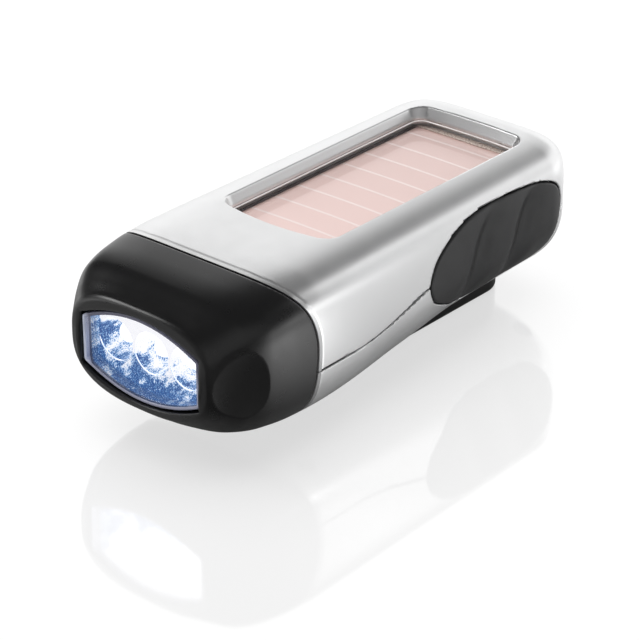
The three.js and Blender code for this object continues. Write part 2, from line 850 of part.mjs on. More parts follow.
// Black nose: an outer cap, its front wall with the lens opening, and the sleeve inside the shells
function noseCap() {
  const front = bodyHalfLength - noseFrontWall;
  const hollow = cut(skinSolid(noseWall, front), scoop(1, scoopWall), scoop(-1, scoopWall));
  const cap = common(cut(skinSolid(0), hollow), aheadOfNoseSeam(pieceGap));
  const sleeveOuter = shellWall + pieceGap;
  const sleeve = common(
    cut(skinSolid(sleeveOuter, front), skinSolid(sleeveOuter + sleeveWall, front + overrun)),
    aheadOfNoseSeam(-sleeveReach),
  );
  const opening = plateX(lensOutline(pieceGap), 0, bodyLength);
  const rebateFront = lensFlangeBack() + lensFlangeThickness + pieceGap;
  const rebate = plateX(lensOutline(lensFlange + pieceGap), 0, rebateFront);
  const room = cut(join(cap, sleeve), opening, rebate);
  return cut(room, scoop(1, 0), scoop(-1, 0));
}

// One side scoop: a shallow dish cut by a large ball, grown by the wall that it keeps behind it
function scoop(side, wall) {
  const x = bodyHalfLength - scoopBack;
  const normal = new THREE.Vector3(scoopTurn, side * Math.sqrt(1 - scoopTurn * scoopTurn), 0);
  const surface = new THREE.Vector3(x, side * halfWidthAt(x, widestHeight), scoopHeight);
  const centre = surface.addScaledVector(normal, scoopRadius - scoopDepth);
  const ball = new THREE.SphereGeometry(scoopRadius + wall, 32, 22);
  return ball.translate(centre.x, centre.y, centre.z);
}

function lensFront() {
  return bodyHalfLength - lensRecess;
}

function lensFlangeBack() {
  return lensFront() - lensThickness - lensFlangeThickness;
}

function lens() {
  const flangeTop = lensFlangeBack() + lensFlangeThickness;
  const plate = plateX(lensOutline(0), flangeTop - lensFlangeThickness, lensFront());
  const flange = plateX(lensOutline(lensFlange), flangeTop - lensFlangeThickness, flangeTop);
  return join(plate, flange);
}

function reflectorFront() {
  return lensFlangeBack() - pieceGap;
}

function ledBoardX() {
  return reflectorFront() - reflectorDepth - pieceGap - ledBoardThickness;
}

function reflector() {
  const front = reflectorFront();
  const back = front - reflectorDepth;
  const block = plateX(lensOutline(-reflectorInset), back, front);
  const throat = ledFlangeRadius + pieceGap;
  const bowls = [-1, 0, 1].map((slot) => {
    const profile = [[0, -overrun], [throat, -overrun], [throat, reflectorDepth * bowlThroatShare]];
    for (const share of bowlShares) {
      const radius = throat + (bowlFrontRadius - throat) * Math.sqrt(share);
      profile.push([radius, reflectorDepth * (bowlThroatShare + (1 - bowlThroatShare) * share)]);
    }
    profile.push([bowlFrontRadius, reflectorDepth + overrun], [0, reflectorDepth + overrun]);
    return alongX(turned(profile)).translate(back, slot * ledPitch, ledHeight);
  });
  return cut(block, ...bowls);
}

function led(slot) {
  const base = ledBoardX() + ledBoardThickness + pieceGap;
  const profile = [[0, -ledPegReach], [ledPegRadius, -ledPegReach], [ledPegRadius, 0]];
  profile.push([ledFlangeRadius, 0], [ledFlangeRadius, ledFlangeThickness]);
  profile.push([ledRadius, ledFlangeThickness]);
  const domeStart = ledLength - ledRadius;
  for (let i = 0; i <= 4; i += 1) {
    const turn = (Math.PI / 2) * (i / 4);
    profile.push([ledRadius * Math.cos(turn), domeStart + ledRadius * Math.sin(turn)]);
  }
  return alongX(turned(profile, smallSides)).translate(base, slot * ledPitch, ledHeight);
}

// Board across the nose that carries the three LEDs
function ledBoard() {
  const x = ledBoardX();
  const inset = noseWall + sleeveWall + pieceGap * 2;
  const room = skinSolid(inset);
  const slab = box(
    x,
    x + ledBoardThickness,
    -lensHalfWidth - ledRadius,
    lensHalfWidth + ledRadius,
    bellyHeight,
    crownHeight - wellDepth,
  );
  const holes = [-1, 0, 1].map((slot) => {
    const hole = rod(ledPegRadius + bearingGap, -overrun, overrun, smallSides);
    return alongX(hole).translate(x, slot * ledPitch, ledHeight);
  });
  return cut(common(slab, room), ...holes);
}

function solarCover() {
  const top = crownHeight - windowDepth - windowSlope / 2 - pieceGap;
  return plateZ(windowOutline(coverLap - windowSlope), top - coverThickness, top);
}

function solarCell() {
  const top = crownHeight - windowDepth - windowSlope / 2 - 2 * pieceGap - coverThickness;
  return plateZ(windowOutline(coverLap - windowSlope), top - cellThickness, top);
}

// A rubber grip pad with two soft finger dents
function grip(side) {
  const pad = cut(skinSolid(0), skinSolid(gripThickness));
  const blank = common(pad, gripPrism(side, 0));
  const dents = dentPlaceShares.map((share) => {
    const x = gripFront - gripLength * share;
    const height = gripBottom + gripHeight * dentHeightShare;
    const surface = halfWidthAt(x, height);
    const ball = new THREE.SphereGeometry(dentTall, 14, 12);
    ball.scale(dentRadius / dentTall / 3, (dentDepth * 3) / dentTall, 1);
    return ball.translate(x, side * (surface + dentDepth * 2), height);
  });
  return cut(blank, ...dents);
}

// Gears
const toothShares = { root: 0.31, tip: 0.12, addendum: 0.8, dedendum: 1.05 };

function gearOutline(teeth, startShare, bore) {
  const pitch = pitchRadius(teeth);
  const tip = pitch + toothModule * toothShares.addendum;
  const root = pitch - toothModule * toothShares.dedendum;
  const step = (2 * Math.PI) / teeth;
  const points = [];
  for (let i = 0; i < teeth; i += 1) {
    const middle = step * (i + startShare);
    const corners = [
      [root, -toothShares.root],
      [tip, -toothShares.tip],
      [tip, toothShares.tip],
      [root, toothShares.root],
    ];
    for (const [radius, share] of corners) {
      const angle = middle + step * share;
      points.push([radius * Math.cos(angle), radius * Math.sin(angle)]);
    }
  }
  const shape = polygon(points);
  const hole = new THREE.Path();
  hole.absarc(0, 0, bore, 0, 2 * Math.PI, true);
  shape.holes.push(hole);
  return shape;
}

function driveGear() {
  const bore = shaftRadius + bearingGap;
  const wheel = plateZ(gearOutline(driveTeeth, 0, bore), driveLevel, driveLevel + gearWidth, 6);
  const hub = ring(bore + bushWall, bore, driveLevel, driveLevel + gearWidth + driveHubRise);
  return join(wheel, hub);
}

// A wheel with the pinion of the next stage above or below it
function compoundGear(wheelTeeth, pinionFrom, wheelFrom) {
  const bore = axleRadius + bearingGap;
  const pinion = plateZ(gearOutline(pinionTeeth, 0.5, bore), pinionFrom, wheelFrom + gearWidth / 2, 6);
  const wheel = plateZ(gearOutline(wheelTeeth, 0, bore), wheelFrom, wheelFrom + gearWidth, 6);
  return join(pinion, wheel);
}

function axle(from, to) {
  return rod(axleRadius, from, to, smallSides);
}

function rotorPinion() {
  const bore = rotorShaftRadius + bearingGap;
  return plateZ(gearOutline(rotorPinionTeeth, 0.5, bore), secondLevel, secondLevel + gearWidth, 6);
}

// Bearing plate over the gears, on four pillars of the lower shell
function gearPlate() {
  const outline = polygon([
    [plateFront, -plateHalfWidth / 2],
    [plateFront, plateHalfWidth / 2],
    [pillarFrontX + plateHalfWidth / 4, plateHalfWidth],
    [pillarFrontX - plateHalfWidth / 4, plateHalfWidth],
    [plateTail, plateTailHalfWidth],
    [plateTail, -plateTailHalfWidth],
    [pillarFrontX - plateHalfWidth / 4, -plateHalfWidth],
    [pillarFrontX + plateHalfWidth / 4, -plateHalfWidth],
  ]);
  const slab = plateZ(outline, plateLevel, plateTop);
  const hole = (x, y, radius) => rod(radius, 0, crownHeight, smallSides).translate(x, y, 0);
  return cut(
    slab,
    ...pillars.map(([x, y]) => hole(x, y, plateScrewRadius + bearingGap)),
    hole(crankX, 0, shaftNeckRadius + bearingGap),
    hole(firstX, 0, axleRadius + bearingGap),
    hole(secondX, 0, axleRadius + bearingGap),
    hole(rotorX, 0, rotorShaftRadius + bearingGap),
  );
}

// A pan-head screw about Z whose head lies under its seat, with the shank upwards
function screw(headRadius, headHeight, shankRadius, length) {
  return turned(
    [
      [0, -headHeight],
      [headRadius * screwFaceShare, -headHeight],
      [headRadius, -headHeight * screwRimShare],
      [headRadius, 0],
      [shankRadius, 0],
      [shankRadius, length - shankRadius],
      [0, length],
    ],
    smallSides,
  );
}

function statorCan() {
  const base = plateTop + pieceGap;
  const top = base + canHeight;
  const hole = rotorShaftRadius + bearingGap;
  return turned([
    [canRadius - canFoot, base],
    [canRadius, base],
    [canRadius, top],
    [hole, top],
    [hole, top - canLid],
    [canRadius - canWall, top - canLid],
    [canRadius - canWall, base + canWall],
    [canRadius - canFoot, base + canWall],
    [canRadius - canFoot, base],
  ]);
}

function coilFrom() {
  return plateTop + pieceGap + canWall + pieceGap;
}

function coil() {
  return ring(coilOuter, coilInner, coilFrom(), coilFrom() + magnetLength);
}

function rotorMagnet() {
  return ring(magnetRadius, rotorShaftRadius + bearingGap, coilFrom(), coilFrom() + magnetLength);
}

function rotorShaft() {
  const top = plateTop + pieceGap + canHeight + bearingGap;
  return rod(rotorShaftRadius, floorTop + pieceGap, top, smallSides);
}

// Crank, in a frame whose Z axis is the crank's own
function crankArm() {
  const tail = armTail - crankX;
  const hubTurn = Math.PI - Math.asin(armHalfWidth / armHubRadius);
  const outline = new THREE.Shape();
  outline.absarc(tail + armHalfWidth, 0, armHalfWidth, Math.PI / 2, (3 * Math.PI) / 2, false);
  outline.lineTo(-armHubRadius, -armHalfWidth);
  outline.absarc(0, 0, armHubRadius, -hubTurn, hubTurn, false);
  outline.lineTo(tail + armHalfWidth, armHalfWidth);
  const bar = new THREE.ExtrudeGeometry(outline, {
    depth: armThickness - 2 * armEdge,
    bevelThickness: armEdge,
    bevelSize: armEdge,
    bevelOffset: -armEdge,
    bevelSegments: 1,
    curveSegments: 12,
  }).translate(0, 0, armEdge);
  const slotFrom = knobHingeX - crankX - knobEyeRadius - 2 * pieceGap;
  const slotTo = knobHingeX - crankX + knobStart + knobLength + 2 * pieceGap + rivetHeadThickness;
  const slotTop = armThickness + overrun;
  const slot = box(slotFrom, slotTo, -knobSlotHalfWidth, knobSlotHalfWidth, -overrun, slotTop);
  const pinReach = knobPinHalfLength + bearingGap;
  const pinHole = alongY(rod(knobPinRadius + bearingGap, -pinReach, pinReach, smallSides));
  pinHole.translate(knobHingeX - crankX, 0, knobHeight);
  const key = rod(shaftKeyRadius + bearingGap, armThickness - shaftKeyDepth, armThickness + overrun, 6);
  const head = rod(armScrewHeadRadius + pieceGap, -overrun, armScrewSeat(), smallSides);
  const shank = rod(armScrewRadius + bearingGap, -overrun, armThickness, smallSides);
  return cut(bar, slot, pinHole, key, head, shank);
}

function armScrewSeat() {
  return armScrewHeadHeight + pieceGap;
}

function crankShaft() {
  const keyFrom = armThickness - shaftKeyDepth + bearingGap;
  const keyTo = armThickness;
  const neckFrom = driveLevel + gearWidth + driveHubRise + pieceGap;
  const key = rod(shaftKeyRadius, keyFrom, keyTo, 6);
  const round = turned([
    [0, keyFrom],
    [shaftRadius, keyFrom],
    [shaftRadius, neckFrom],
    [shaftNeckRadius, neckFrom],
    [shaftNeckRadius, plateTop],
    [0, plateTop],
  ]);
  const bore = rod(shaftBore, keyFrom - overrun, keyFrom + shaftBoreDepth, smallSides);
  return cut(join(key, round), bore);
}

function crankBush() {
  const inner = shaftRadius + bearingGap;
  const flangeFrom = floorTop + pieceGap;
  return turned([
    [inner, bellyHeight + bearingGap],
    [bushRadius, bellyHeight + bearingGap],
    [bushRadius, flangeFrom],
    [bushRadius + bushFlange, flangeFrom],
    [bushRadius + bushFlange, flangeFrom + bushFlangeThickness],
    [bushRadius, flangeFrom + bushFlangeThickness],
    [bushRadius, bushTop - pieceGap * 2],
    [inner, bushTop - pieceGap * 2],
    [inner, bellyHeight + bearingGap],
  ]);
}

// Knob, in a frame whose origin is the middle of its hinge pin and whose X axis is the post's.
// The pin itself is pressed into the arm, so it is made in the crank's frame.
function knobPost() {
  const [half, pinBore] = [knobEyeHalfWidth, knobPinRadius + bearingGap];
  const eye = alongY(ring(knobEyeRadius, pinBore, -half, half, smallSides));
  const end = knobStart + knobLength + pieceGap;
  const stem = alongX(rod(knobPostRadius, knobEyeRadius - knobPostRadius, end, smallSides));
  const clearPin = alongY(rod(pinBore, -half, half, smallSides));
  const boreFrom = end - rivetStemLength - pieceGap;
  const bore = alongX(rod(rivetStemRadius + bearingGap, boreFrom, end + overrun, smallSides));
  return cut(join(eye, stem), clearPin, bore);
}

function knobGrip() {
  const inner = knobPostRadius + bearingGap;
  const end = knobStart + knobLength;
  const profile = [[inner, knobStart]];
  const steps = 8;
  for (let i = 0; i <= steps; i += 1) {
    const share = i / steps;
    const waist = (knobRadius - knobWaist) * Math.sin(Math.PI * share);
    profile.push([knobRadius - waist, knobStart + knobLength * share]);
  }
  profile.push([inner, end], [inner, knobStart]);
  return alongX(turned(profile));
}

function knobRivet() {
  const head = knobStart + knobLength + pieceGap + bearingGap;
  const stem = rod(rivetStemRadius, head - rivetStemLength, head, smallSides);
  const cap = rod(rivetHeadRadius, head, head + rivetHeadThickness, smallSides);
  return alongX(join(stem, cap));
}

function knobPin() {
  const pin = alongY(rod(knobPinRadius, -knobPinHalfLength, knobPinHalfLength, smallSides));
  return pin.translate(knobHingeX - crankX, 0, knobHeight);
}

// Push button, in a frame whose origin is the middle of the tail and whose X axis points inwards
function pushButton() {
  const flange = buttonWallDepth + pieceGap;
  return alongX(
    turned([
      [0, pieceGap],
      [buttonRadius * buttonFaceShare, pieceGap],
      [buttonRadius, pieceGap * 2],
      [buttonRadius, flange],
      [buttonFlangeRadius, flange],
      [buttonFlangeRadius, flange + buttonFlangeThickness],
      [plungerRadius, flange + buttonFlangeThickness],
      [plungerRadius, flange + buttonFlangeThickness + plungerLength],
      [0, flange + buttonFlangeThickness + plungerLength],
    ]),
  );
}

// The switch board with its press switch
function switchBoard() {
  const x = switchBoardX();
  const half = switchBoardHalfWidth;
  const slab = box(x, x + switchBoardThickness, -half, half, switchBoardBottom, switchBoardTop);
  const body = box(
    x - switchBodyDepth,
    x + switchBoardThickness / 2,
    -switchBodyHalf / 2,
    switchBodyHalf / 2,
    buttonHeight - switchBodyHalf / 2,
    buttonHeight + switchBodyHalf / 2,
  );
  return join(slab, body);
}

// A coil spring round the plunger, between the button's flange and the switch board
class Helix extends THREE.Curve {
  constructor(radius, from, to, turns) {
    super();
    Object.assign(this, { radius, from, to, turns });
  }

  getPoint(t, target = new THREE.Vector3()) {
    const angle = 2 * Math.PI * this.turns * t;
    const along = this.from + (this.to - this.from) * t;
    return target.set(along, this.radius * Math.cos(angle), this.radius * Math.sin(angle));
  }
}

function buttonSpring() {
  const from = -bodyHalfLength + buttonWallDepth + pieceGap + buttonFlangeThickness + springWire * 2;
  const to = switchBoardX() - springWire * 2;
  const route = new Helix(springRadius, from, to, springTurns);
  const section = polygon(
    Array.from({ length: 5 }, (_, j) => {
      const angle = (2 * Math.PI * j) / 5;
      return [springWire * Math.cos(angle), springWire * Math.sin(angle)];
    }),
  );
  const made = new THREE.ExtrudeGeometry(section, { extrudePath: route, steps: 8 * springTurns });
  return made.translate(0, 0, buttonHeight);
}

// Battery pack: three button cells side by side along Y in a cradle on the floor
const batteryHeight = floorTop + batteryFloorGap + cradleWall + pieceGap + batteryRadius;
const packHalfLength = (batteryCount * batteryLength + (batteryCount - 1) * bearingGap) / 2;

function batteryCell(number) {
  const from = -packHalfLength + number * (batteryLength + bearingGap);
  return alongY(rod(batteryRadius, from, from + batteryLength)).translate(batteryX, 0, batteryHeight);
}

function batteryCradle() {
  const room = batteryRadius + pieceGap;
  const half = packHalfLength + pieceGap;
  const bottom = floorTop + batteryFloorGap;
  const block = box(
    batteryX - room,
    batteryX + room,
    -half - cradleWall,
    half + cradleWall,
    bottom,
    bottom + cradleRise,
  );
  const pack = alongY(rod(room, -half, half)).translate(batteryX, 0, batteryHeight);
  const feet = [1, -1].map((side) => {
    const y = (side * half) / 2;
    return box(
      batteryX - room / 2,
      batteryX,
      y - cradleWall,
      y + cradleWall,
      floorTop + bearingGap,
      bottom + cradleWall / 2,
    );
  });
  return join(cut(block, pack), ...feet);
}

// Main board with its charge chip and storage capacitor
function mainBoard() {
  const top = boardBottom + boardThickness;
  const slab = box(boardTail, boardFront, -boardHalfWidth, boardHalfWidth, boardBottom, top);
  const middle = (boardTail + boardFront) / 2;
  const chip = box(
    middle,
    middle + chipSize,
    -chipSize / 2,
    chipSize / 2,
    top - boardThickness / 2,
    top + chipHeight,
  );
  const store = rod(capRadius, top - boardThickness / 2, top + capHeight, smallSides);
  store.translate(boardFront - capRadius * 2, boardHalfWidth - capRadius * 2, 0);
  const holes = [1, -1].map((side) => {
    const hole = rod(plateScrewRadius + bearingGap, 0, crownHeight, smallSides);
    return hole.translate(boardBossX, side * boardBossY, 0);
  });
  return cut(join(slab, chip, store), ...holes);
}

// A lead wire through hand-placed points
function wire(points) {
  const route = new THREE.CatmullRomCurve3(points.map(([x, y, z]) => new THREE.Vector3(x, y, z)));
  const sides = Array.from({ length: wireSides }, (_, j) => {
    const angle = (2 * Math.PI * j) / wireSides;
    return [wireRadius * Math.cos(angle), wireRadius * Math.sin(angle)];
  });
  return new THREE.ExtrudeGeometry(polygon(sides), { extrudePath: route, steps: 10 });
}

function ledWire(side) {
  const y = (side * ledPitch) / 2;
  const boardTop = boardBottom + boardThickness;
  const back = ledBoardX() - pieceGap;
  const rise = boardTop + wireRadius + pieceGap;
  return wire([
    [back, y, ledHeight + ledPegReach],
    [back - wireRadius * 3, y, ledHeight + ledPegReach],
    [boardFront, y, rise + wireRadius * 2],
    [boardFront - wireRadius * 5, y, rise],
  ]);
}

// Assembly
const torch = new THREE.Group();
const housing = new THREE.Group();
torch.add(housing);

function add(name, geometry, material, parent = housing) {
  const mesh = new THREE.Mesh(geometry, material);
  mesh.name = name;
  mesh.geometry.computeVertexNormals();
  parent.add(mesh);
  return mesh;
}

add("upper_shell", upperShell(), silver);
add("lower_shell", lowerShell(), silver);
add("nose_cap", noseCap(), blackGloss);
add("lens", lens(), clear);
add("reflector", reflector(), chrome);
add("led_board", ledBoard(), boardGreen);
add("led_right", led(-1), ledGlow);
add("led_middle", led(0), ledGlow);
add("led_left", led(1), ledGlow);
add("grip_left", grip(1), rubber);
add("grip_right", grip(-1), rubber);
add("solar_cover", solarCover(), clear);
add("solar_cell", solarCell(), cellPink);
add("gear_plate", gearPlate(), nylon);
add("crank_bush", crankBush(), brass).position.set(crankX, 0, 0);
add("stator_can", statorCan(), steel).position.set(rotorX, 0, 0);
add("stator_coil", coil(), copper).position.set(rotorX, 0, 0);
add("axle_first", axle(floorTop + pieceGap, plateTop), steel).position.set(firstX, 0, 0);
add("axle_second", axle(floorTop + pieceGap, plateTop), steel).position.set(secondX, 0, 0);
add("battery_cradle", batteryCradle(), blackGloss);
for (let number = 0; number < batteryCount; number += 1) {
  add(`battery_cell_${number + 1}`, batteryCell(number), sleeveGreen);
}
add("main_board", mainBoard(), boardGreen);
add("switch_board", switchBoard(), boardGreen);
add("button_spring", buttonSpring(), steel);
add("led_wire_red", ledWire(1), wireRed);
add("led_wire_black", ledWire(-1), wireBlack);

shellScrews.forEach(([x, y], i) => {
  const made = screw(screwHeadRadius, screwHeadHeight, screwShankRadius, screwLength);
  add(`shell_screw_${i + 1}`, made, steel).position.set(x, y, screwHeadSeat - bearingGap);
});
pillars.forEach(([x, y], i) => {
  const made = screw(plateScrewHeadRadius, plateScrewHeadHeight, plateScrewRadius, plateScrewLength);
  const mesh = add(`plate_screw_${i + 1}`, made, steel);
  mesh.rotation.x = Math.PI;
  mesh.position.set(x, y, plateTop + bearingGap);
});
[1, -1].forEach((side, i) => {
  const length = plateScrewLength - pieceGap * 2;
  const made = screw(plateScrewHeadRadius, plateScrewHeadHeight, plateScrewRadius, length);
  const mesh = add(`board_screw_${i + 1}`, made, steel);
  mesh.position.set(boardBossX, side * boardBossY, boardBottom - bearingGap);
});

// Crank and what turns with it
const crank = new THREE.Group();
crank.position.set(crankX, 0, 0);
housing.add(crank);
add("crank_arm", crankArm(), blackGloss, crank);
add("crank_shaft", crankShaft(), steel, crank);
add("drive_gear", driveGear(), nylon, crank);
const armScrew = screw(armScrewHeadRadius, armScrewHeadHeight, armScrewRadius, armScrewLength);
add("arm_screw", armScrew, steel, crank).position.z = armScrewSeat() - bearingGap;
add("knob_pin", knobPin(), steel, crank);

// Knob on its post
const knob = new THREE.Group();
knob.position.set(knobHingeX - crankX, 0, knobHeight);
crank.add(knob);
add("knob_post", knobPost(), steel, knob);
add("knob_rivet", knobRivet(), steel, knob);
add("knob_grip", knobGrip(), blackGloss, knob);

// Gears and rotor
const firstGear = new THREE.Group();
firstGear.position.set(firstX, 0, 0);
const secondGear = new THREE.Group();
secondGear.position.set(secondX, 0, 0);
const rotor = new THREE.Group();
rotor.position.set(rotorX, 0, 0);
housing.add(firstGear, secondGear, rotor);
add("compound_gear_first", compoundGear(firstWheelTeeth, driveLevel, firstLevel), nylon, firstGear);
add("compound_gear_second", compoundGear(secondWheelTeeth, firstLevel, secondLevel), nylon, secondGear);
add("rotor_pinion", rotorPinion(), brass, rotor);
add("rotor_shaft", rotorShaft(), steel, rotor);
add("rotor_magnet", rotorMagnet(), magnetGrey, rotor);

// Button
const button = new THREE.Group();
button.position.set(-bodyHalfLength, 0, buttonHeight);
housing.add(button);
add("push_button", pushButton(), rubber, button);

export default torch;
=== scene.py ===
"""Hand crank and solar torch: the looks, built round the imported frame. Lengths are millimetres until MM."""

import json
import math

import bpy
import numpy as np
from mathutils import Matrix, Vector


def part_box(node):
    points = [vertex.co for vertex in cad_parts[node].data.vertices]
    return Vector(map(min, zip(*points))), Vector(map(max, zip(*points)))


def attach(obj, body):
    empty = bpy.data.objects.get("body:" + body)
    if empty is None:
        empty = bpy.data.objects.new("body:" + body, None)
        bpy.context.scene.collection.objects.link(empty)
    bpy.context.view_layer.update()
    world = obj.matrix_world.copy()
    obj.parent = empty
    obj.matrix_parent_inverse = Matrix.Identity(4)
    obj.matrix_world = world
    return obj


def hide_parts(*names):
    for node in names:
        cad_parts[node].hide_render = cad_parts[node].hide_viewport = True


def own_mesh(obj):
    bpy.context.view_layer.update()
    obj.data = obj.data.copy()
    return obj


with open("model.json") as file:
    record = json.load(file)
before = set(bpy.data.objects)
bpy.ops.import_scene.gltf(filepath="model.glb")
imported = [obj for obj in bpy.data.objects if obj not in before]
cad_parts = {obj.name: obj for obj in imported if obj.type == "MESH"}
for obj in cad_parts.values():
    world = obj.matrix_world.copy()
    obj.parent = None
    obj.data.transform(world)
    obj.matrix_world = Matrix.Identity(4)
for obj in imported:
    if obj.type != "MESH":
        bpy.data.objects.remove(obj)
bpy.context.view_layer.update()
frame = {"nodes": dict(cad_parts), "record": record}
nodes = frame["nodes"]

MM = 0.001
TINY, HUGE = 1e-9, 1e9

# Sizes shared with the solids
TAIL, NOSE = -65.0, 65.0
LENGTH = NOSE - TAIL
HALF_WIDTH, CROWN, BELLY, MIDDLE = 27.1, 42.6, 7.2, 25.0
TAIL_EDGE, TAIL_CORNER = 10.0, 14.0
SEAM_BACK, SEAM_TOP_LEAN, SEAM_BOTTOM_LEAN = 36.0, 9.0, 4.0
SPLIT_FRONT, SPLIT_TAIL, SPLIT_FROM, SPLIT_TO = 20.0, 26.0, 22.0, -12.0
GAP = 0.3

# Share from the tail, half width, crown, belly, fullness above and below the middle
SKIN = [
    (0, 0.937, 1, 1, 5.5, 2.2),
    (0.092, 0.945, 1, 1, 5.5, 2.2),
    (0.346, 0.967, 1, 1, 5.5, 2.3),
    (0.531, 0.982, 1, 1, 5.5, 3.1),
    (0.762, 1, 1, 1.008, 5.5, 4.6),
    (0.823, 0.996, 0.994, 1.01, 5.2, 4.4),
    (0.885, 0.978, 0.96, 1, 4.7, 3.8),
    (0.931, 0.934, 0.903, 0.944, 4.3, 3.3),
    (0.965, 0.86, 0.79, 0.831, 3.6, 2.8),
    (0.981, 0.808, 0.733, 0.753, 3.1, 2.7),
    (0.994, 0.745, 0.687, 0.691, 2.8, 2.6),
    (1, 0.697, 0.619, 0.618, 2.7, 2.6),
]
LOOKUP_STEP = 0.04


# Distance fields, negative inside
def smooth(share):
    return share * share * (3 - 2 * share)


def over(value, start, length):
    """From 0 at start to 1 over a length."""
    return np.clip((value - start) / length, 0, 1)


def slope_at(table, row, column):
    if row in (0, len(table) - 1):
        return 0.0
    before = (table[row][column] - table[row - 1][column]) / (table[row][0] - table[row - 1][0])
    after = (table[row + 1][column] - table[row][column]) / (table[row + 1][0] - table[row][0])
    return 0.0 if before * after <= 0 else 2 * before * after / (before + after)


def value_at(table, share, column):
    row = 0
    while row < len(table) - 2 and table[row + 1][0] < share:
        row += 1
    start, end = table[row], table[row + 1]
    width = end[0] - start[0]
    t = (share - start[0]) / width
    pulls = (t - 2 * t * t + t**3) * slope_at(table, row, column)
    pulls += (t**3 - t * t) * slope_at(table, row + 1, column)
    return start[column] + smooth(t) * (end[column] - start[column]) + pulls * width


def round_in(radius, from_tail):
    reach = max(radius - from_tail, 0.0)
    return radius - math.sqrt(max(radius * radius - reach * reach, 0.0))


def skin_lookup():
    """Half width, crown, belly and the two fullnesses, in even steps from the tail to the nose."""
    rows = []
    for x in np.arange(TAIL, NOSE + LOOKUP_STEP / 2, LOOKUP_STEP):
        share = min(max((x - TAIL) / LENGTH, 0.0), 1.0)
        half, crown, belly, upper, lower = (value_at(SKIN, share, column) for column in range(1, 6))
        edge = round_in(TAIL_EDGE, x - TAIL)
        high, low = (CROWN - MIDDLE) * crown - edge, (MIDDLE - BELLY) * belly - edge
        rows.append((HALF_WIDTH * half - round_in(TAIL_CORNER, x - TAIL), high, low, upper, lower))
    return np.array(rows).T


LOOKUP = skin_lookup()


def place_in(values, low, step, count):
    """Where values fall in an even table: the entry before each, and the share of the way to the next."""
    place = np.clip((values - low) / step, 0, count - 1.001)
    start = place.astype(int)
    return start, place - start


def section(x):
    start, share = place_in(x, TAIL, LOOKUP_STEP, LOOKUP.shape[1])
    return LOOKUP[:, start] * (1 - share) + LOOKUP[:, start + 1] * share


def skin_norm(x, y, z, with_slopes=False):
    half, crown, belly, upper, lower = section(x)
    above = z > MIDDLE
    high = np.where(above, crown, belly)
    full = np.where(above, upper, lower)
    across, up = np.abs(y) / half + TINY, np.abs(z - MIDDLE) / high + TINY
    size = (across**full + up**full) ** (1 / full)
    if not with_slopes:
        return size
    return size, (across / size) ** (full - 1) / half, (up / size) ** (full - 1) / high


def skin(x, y, z):
    """About the distance from the outer skin."""
    size, along_y, along_z = skin_norm(x, y, z, True)
    step = 0.05
    along_x = (skin_norm(x + step, y, z) - size) / step
    return (size - 1) / np.sqrt(along_x**2 + along_y**2 + along_z**2)


def within(first, *others):
    """What all of them share, with sharp edges."""
    for other in others:
        first = np.maximum(first, other)
    return first


def both(a, b, radius=0.0):
    """What a and b share, with the edge rounded."""
    if np.isscalar(radius) and radius <= 0:
        return np.maximum(a, b)
    corner = np.hypot(np.maximum(a + radius, 0), np.maximum(b + radius, 0))
    return np.minimum(-radius, np.maximum(a, b)) + corner


def less(a, b, radius=0.0):
    return both(a, -b, radius)


def either(a, b, radius=0.0):
    return -both(-a, -b, radius)


def seam_shape(z):
    """How far the seam between the nose and the shells reaches up or down, and how far it leans."""
    above = z > MIDDLE
    reach = np.where(above, CROWN - MIDDLE, MIDDLE - BELLY)
    return reach, np.where(above, SEAM_TOP_LEAN, SEAM_BOTTOM_LEAN)


def seam_x(z):
    reach, lean = seam_shape(z)
    return SEAM_BACK + lean * ((z - MIDDLE) / reach) ** 2


def nose_side(x, z):
    """Distance ahead of that seam."""
    reach, lean = seam_shape(z)
    share = (z - MIDDLE) / reach
    return (x - SEAM_BACK - lean * share**2) / np.sqrt(1 + (2 * lean * share / reach) ** 2)


def split_height(x):
    return SPLIT_FRONT + (SPLIT_TAIL - SPLIT_FRONT) * smooth(over(x, SPLIT_FROM, SPLIT_TO - SPLIT_FROM))


def polygon_distance(points, u, v):
    """Distance from a closed outline, negative inside."""
    u, v = np.broadcast_arrays(u, v)
    nearest = np.full(u.shape, HUGE)
    inside = np.zeros(u.shape, bool)
    for (ax, ay), (bx, by) in zip(points, np.roll(points, -1, axis=0)):
        ex, ey = bx - ax, by - ay
        wx, wy = u - ax, v - ay
        t = np.clip((wx * ex + wy * ey) / (ex * ex + ey * ey), 0, 1)
        nearest = np.minimum(nearest, (wx - ex * t) ** 2 + (wy - ey * t) ** 2)
        if ay != by:
            inside ^= ((ay > v) != (by > v)) & (u < ex * (v - ay) / ey + ax)
    return np.where(inside, -1, 1) * np.sqrt(nearest)


def outline_field(points, reach=5.0, step=0.15):
    """The same as a function of two coordinates, from a table: it is quick and has no facets."""
    points = np.array(points, float)
    low = points.min(0) - reach
    counts = np.ceil((points.max(0) + reach - low) / step).astype(int) + 1
    rows, columns = (a + step * np.arange(n) for a, n in zip(low, counts))
    table = polygon_distance(points, rows[:, None], columns[None, :])

    def field(u, v):
        u, v = np.broadcast_arrays(u, v)
        (i, s), (j, t) = place_in(u, low[0], step, counts[0]), place_in(v, low[1], step, counts[1])
        near = table[i, j] * (1 - s) + table[i + 1, j] * s
        return near * (1 - t) + (table[i, j + 1] * (1 - s) + table[i + 1, j + 1] * s) * t

    return field


def curve_through(points, steps):
    """A closed smooth outline through points."""
    p = np.array(points, float)
    count = len(p)
    out = []
    for i in range(count):
        a, b, c, d = p[i - 1], p[i], p[(i + 1) % count], p[(i + 2) % count]
        square, cube = 2 * a - 5 * b + 4 * c - d, 3 * b - a - 3 * c + d
        for t in (k / steps for k in range(steps)):
            out.append(0.5 * (2 * b + (c - a) * t + square * t**2 + cube * t**3))
    return np.array(out)


